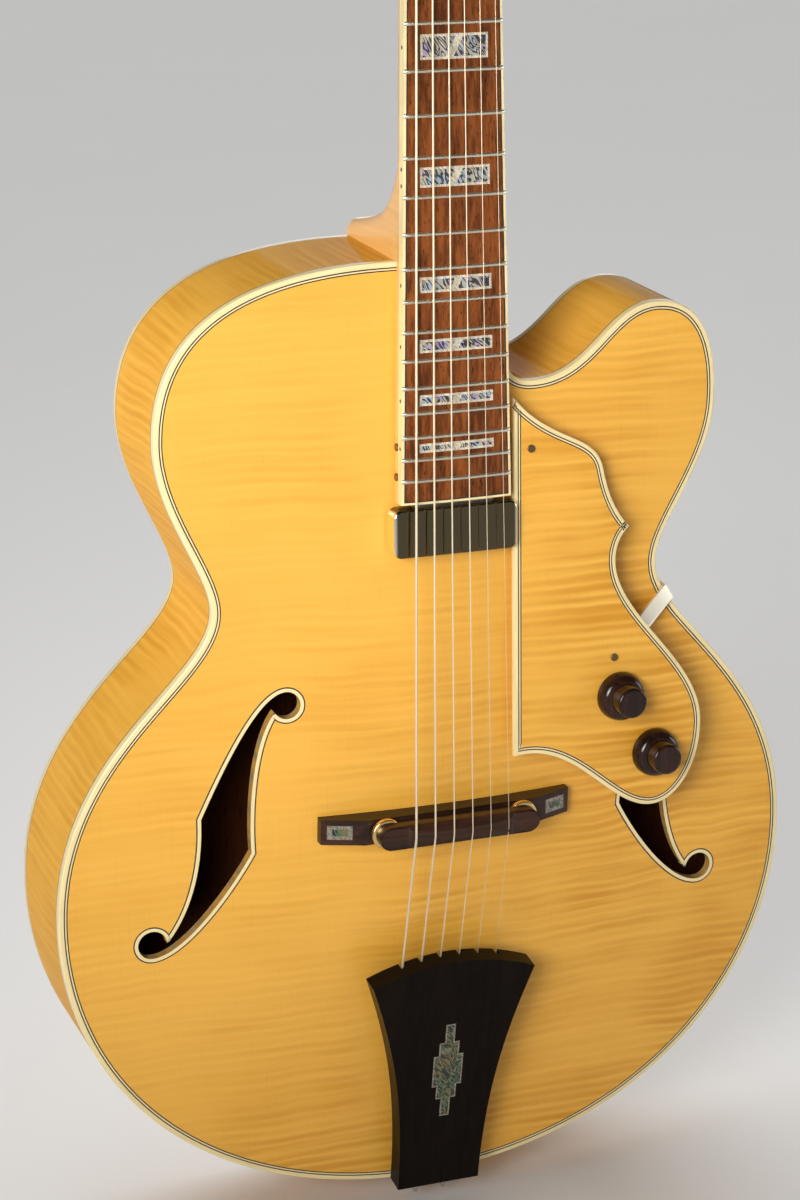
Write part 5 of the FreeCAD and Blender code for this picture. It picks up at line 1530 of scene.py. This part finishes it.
def make_screws(colours):
    """Small round-headed screws."""
    smooth_copy("small_screws", shared("Dark screw", colours), bevel=0.25)


# Stage
CAMERA_PLACE = (-0.55764, -1.37525, 0.81169)
CAMERA_RIGHT = (0.93327, -0.35889, 0.01417)
CAMERA_DOWN = (-0.09749, -0.29110, -0.95171)
CAMERA_AHEAD = (0.34569, 0.88682, -0.30667)
CAMERA_LENS = 90.72
CAMERA_SENSOR = 36.0
CAMERA_SHIFT = (0.0200, -0.0292)
FLOOR_REACH = 14.0
FLOOR_GAP = 0.2
HORIZON_LIMITS = (0.30, 0.02)
BACK_GLINT = 0.2


def aimed(place, target):
    """A matrix at a place that looks along its own -Z at a target."""
    turn = (Vector(target) - Vector(place)).to_track_quat("-Z", "Y")
    return Matrix.Translation(place) @ turn.to_matrix().to_4x4()


def make_floor(tone):
    """A wide pale floor just under the lowest piece."""
    side = np.linspace(-FLOOR_REACH, FLOOR_REACH, 9) / MM
    x, y = np.meshgrid(side, side)
    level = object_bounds()[0][2] / MM - FLOOR_GAP
    mesh = skin(np.stack([x, y, np.full_like(x, level)], axis=-1), closed=False, flip=True)
    mesh.name = "floor"
    floor = bpy.data.objects.new("floor", mesh)
    bpy.context.scene.collection.objects.link(floor)
    material, tree, shader = new_material("Floor")
    place = object_place(tree)
    clouded = mix_colour(tree, noise(tree, place, 3.0), tone, tinted(tone, 0.97))
    coat(tree, shader, clouded, place, 0.6, 0.1)
    mesh.materials.append(material)
    floor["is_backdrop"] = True
    return floor


def make_sky(settings):
    """A white world, brighter near the horizon than higher up."""
    world = bpy.data.worlds.new("Studio")
    world.use_nodes = True
    sky = world.node_tree
    directions = node(sky, "ShaderNodeTexCoord")["Generated"]
    low = spread(sky, parts_of(sky, directions)["Z"], *HORIZON_LIMITS)
    strength = math_node(sky, "MULTIPLY_ADD", low, settings.horizon - settings.sky, settings.sky)
    feed(sky, sky.nodes["Background"].inputs, {"Color": (1.0, 1.0, 1.0), "Strength": strength})
    bpy.context.scene.world = world


def new_lamp(name, kind, power, place, target):
    """A lamp of one kind at a place, aimed at a target."""
    light = bpy.data.lights.new(name, kind)
    light.energy = power
    lamp = bpy.data.objects.new(name, light)
    bpy.context.scene.collection.objects.link(lamp)
    lamp.matrix_world = aimed(place, target)
    return lamp


def soft_lamp(name, power, place, target, size, cone):
    """A round soft lamp that the camera doesn't see; cone is the angle of its beam in degrees."""
    lamp = new_lamp(name, "AREA", power, place, target)
    lamp.data.shape = "DISK"
    lamp.data.size = size
    lamp.data.spread = math.radians(cone)
    lamp.visible_camera = False
    return lamp


def link_floor(lamp, label, floor, state):
    """Let a lamp light nothing but the floor (INCLUDE) or everything but the floor (EXCLUDE)."""
    receivers = bpy.data.collections.new(label)
    receivers.objects.link(floor)
    receivers.collection_objects[0].light_linking.link_state = state
    lamp.light_linking.receiver_collection = receivers


def make_lamps(settings, floor):
    """Soft lamps at the left, at the right and behind, and a wide light from above on the floor."""
    soft_lamp("key", settings.key_power, (-0.80, -0.82, 0.76), (-0.14, 0.0, 0.48), 0.8, 50)
    soft_lamp("side", settings.side_power, (1.75, -0.45, 0.62), (0.10, 0.0, 0.30), 0.8, 120)
    back = soft_lamp("back", settings.back_power, (0.90, 2.00, 0.90), (0.0, 0.0, 0.45), 1.2, 180)
    back.data.specular_factor = BACK_GLINT
    link_floor(back, "Not lit from behind", floor, "EXCLUDE")
    overhead = new_lamp("overhead", "SUN", settings.overhead, (0.0, 1.2, 3.0), (0.0, 0.0, 0.0))
    overhead.data.angle = math.radians(70)
    link_floor(overhead, "Lit from above", floor, "INCLUDE")


def make_camera():
    """The camera at the photo's angle."""
    camera = bpy.data.cameras.new("camera")
    camera.lens = CAMERA_LENS
    camera.sensor_width = CAMERA_SENSOR
    camera.sensor_fit = "AUTO"
    camera.shift_x, camera.shift_y = CAMERA_SHIFT
    camera.clip_start = 0.05
    viewer = bpy.data.objects.new("camera", camera)
    bpy.context.scene.collection.objects.link(viewer)
    axes = Matrix((CAMERA_RIGHT, -Vector(CAMERA_DOWN), -Vector(CAMERA_AHEAD))).transposed().to_4x4()
    viewer.matrix_world = Matrix.Translation(CAMERA_PLACE) @ axes
    bpy.context.scene.camera = viewer


def make_stage(settings):
    """Pale floor, soft lights and the camera."""
    floor = make_floor(settings.floor)
    make_sky(settings)
    make_lamps(settings, floor)
    make_camera()
    bpy.context.scene.view_settings.view_transform = "Standard"


# Operators
class GUITAR_OT_body(bpy.types.Operator):
    """Make the arched plates, sides and cream edges"""
    bl_idname = "guitar.body"
    bl_label = "Body"

    def execute(self, context):
        make_body(context.scene.guitar_body, context.scene.guitar_finish)
        return {"FINISHED"}


class GUITAR_OT_sound_holes(bpy.types.Operator):
    """Make the edges of the two sound holes"""
    bl_idname = "guitar.sound_holes"
    bl_label = "Sound holes"

    def execute(self, context):
        make_sound_holes(context.scene.guitar_body, context.scene.guitar_finish)
        return {"FINISHED"}


class GUITAR_OT_inside(bpy.types.Operator):
    """Finish the blocks, linings and bars inside the body in dark painted shade"""
    bl_idname = "guitar.inside"
    bl_label = "Inside"

    def execute(self, context):
        make_inside(context.scene.guitar_finish)
        return {"FINISHED"}


class GUITAR_OT_neck(bpy.types.Operator):
    """Make the neck, heel, headstock face, nut and truss rod cover"""
    bl_idname = "guitar.neck"
    bl_label = "Neck"

    def execute(self, context):
        make_neck(context.scene.guitar_finish)
        return {"FINISHED"}


class GUITAR_OT_fingerboard(bpy.types.Operator):
    """Make the fingerboard's finish, lines and frets"""
    bl_idname = "guitar.fingerboard"
    bl_label = "Fingerboard"

    def execute(self, context):
        make_fingerboard(context.scene.guitar_neck, context.scene.guitar_finish)
        return {"FINISHED"}


class GUITAR_OT_strings(bpy.types.Operator):
    """Make the six strings"""
    bl_idname = "guitar.strings"
    bl_label = "Strings"

    def execute(self, context):
        make_strings(context.scene.guitar_neck, context.scene.guitar_finish)
        return {"FINISHED"}


class GUITAR_OT_tuners(bpy.types.Operator):
    """Make the six tuners"""
    bl_idname = "guitar.tuners"
    bl_label = "Tuners"

    def execute(self, context):
        make_tuners(context.scene.guitar_finish)
        return {"FINISHED"}


class GUITAR_OT_bridge(bpy.types.Operator):
    """Make the bridge base, inlays, studs, wheels and saddle"""
    bl_idname = "guitar.bridge"
    bl_label = "Bridge"

    def execute(self, context):
        make_bridge(context.scene.guitar_finish)
        return {"FINISHED"}


class GUITAR_OT_tailpiece(bpy.types.Operator):
    """Make the tailpiece, its ornament, cable and end pin"""
    bl_idname = "guitar.tailpiece"
    bl_label = "Tailpiece"

    def execute(self, context):
        make_tailpiece(context.scene.guitar_fittings, context.scene.guitar_finish)
        return {"FINISHED"}


class GUITAR_OT_pickguard(bpy.types.Operator):
    """Make the pickguard, its edge, lines and strap"""
    bl_idname = "guitar.pickguard"
    bl_label = "Pickguard"

    def execute(self, context):
        make_pickguard(context.scene.guitar_fittings, context.scene.guitar_finish)
        return {"FINISHED"}


class GUITAR_OT_pickup(bpy.types.Operator):
    """Make the floating pickup"""
    bl_idname = "guitar.pickup"
    bl_label = "Pickup"

    def execute(self, context):
        make_pickup(context.scene.guitar_finish)
        return {"FINISHED"}


class GUITAR_OT_controls(bpy.types.Operator):
    """Make the knobs and the small screws"""
    bl_idname = "guitar.controls"
    bl_label = "Controls"

    def execute(self, context):
        make_controls(context.scene.guitar_fittings, context.scene.guitar_finish)
        make_screws(context.scene.guitar_finish)
        return {"FINISHED"}


class GUITAR_OT_stage(bpy.types.Operator):
    """Make the floor, lights and camera"""
    bl_idname = "guitar.stage"
    bl_label = "Stage"

    def execute(self, context):
        make_stage(context.scene.guitar_stage)
        return {"FINISHED"}


OPERATORS = (GUITAR_OT_body, GUITAR_OT_sound_holes, GUITAR_OT_inside, GUITAR_OT_neck, GUITAR_OT_fingerboard,
             GUITAR_OT_strings, GUITAR_OT_tuners, GUITAR_OT_bridge, GUITAR_OT_tailpiece, GUITAR_OT_pickguard,
             GUITAR_OT_pickup, GUITAR_OT_controls, GUITAR_OT_stage)


class GUITAR_PT_panel(bpy.types.Panel):
    """Lists the guitar's pieces and settings"""
    bl_idname = "GUITAR_PT_panel"
    bl_label = "Archtop guitar"
    bl_space_type = "VIEW_3D"
    bl_region_type = "UI"
    bl_category = "Guitar"

    def draw(self, context):
        layout = self.layout
        for group in SETTINGS:
            box = layout.box()
            settings = getattr(context.scene, group)
            for name in settings.bl_rna.properties.keys():
                if name not in ("name", "rna_type"):
                    box.prop(settings, name)
        for operator in OPERATORS:
            layout.operator(operator.bl_idname)


SETTINGS = {"guitar_body": BodySizes, "guitar_neck": NeckSizes, "guitar_fittings": FittingSizes,
            "guitar_finish": FinishColours, "guitar_stage": StageSettings}


def register():
    """Register settings, operators and the panel."""
    for name, group in SETTINGS.items():
        bpy.utils.register_class(group)
        setattr(bpy.types.Scene, name, bpy.props.PointerProperty(type=group))
    for made_class in OPERATORS + (GUITAR_PT_panel,):
        bpy.utils.register_class(made_class)


def unregister():
    """Take everything out again in reverse order."""
    for made_class in reversed(OPERATORS + (GUITAR_PT_panel,)):
        bpy.utils.unregister_class(made_class)
    for name, group in reversed(SETTINGS.items()):
        delattr(bpy.types.Scene, name)
        bpy.utils.unregister_class(group)


def main():
    """Make every piece in order."""
    register()
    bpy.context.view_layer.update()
    for operator in OPERATORS:
        getattr(bpy.ops.guitar, operator.bl_idname.split(".")[1])()


if __name__ == "__main__":
    main()
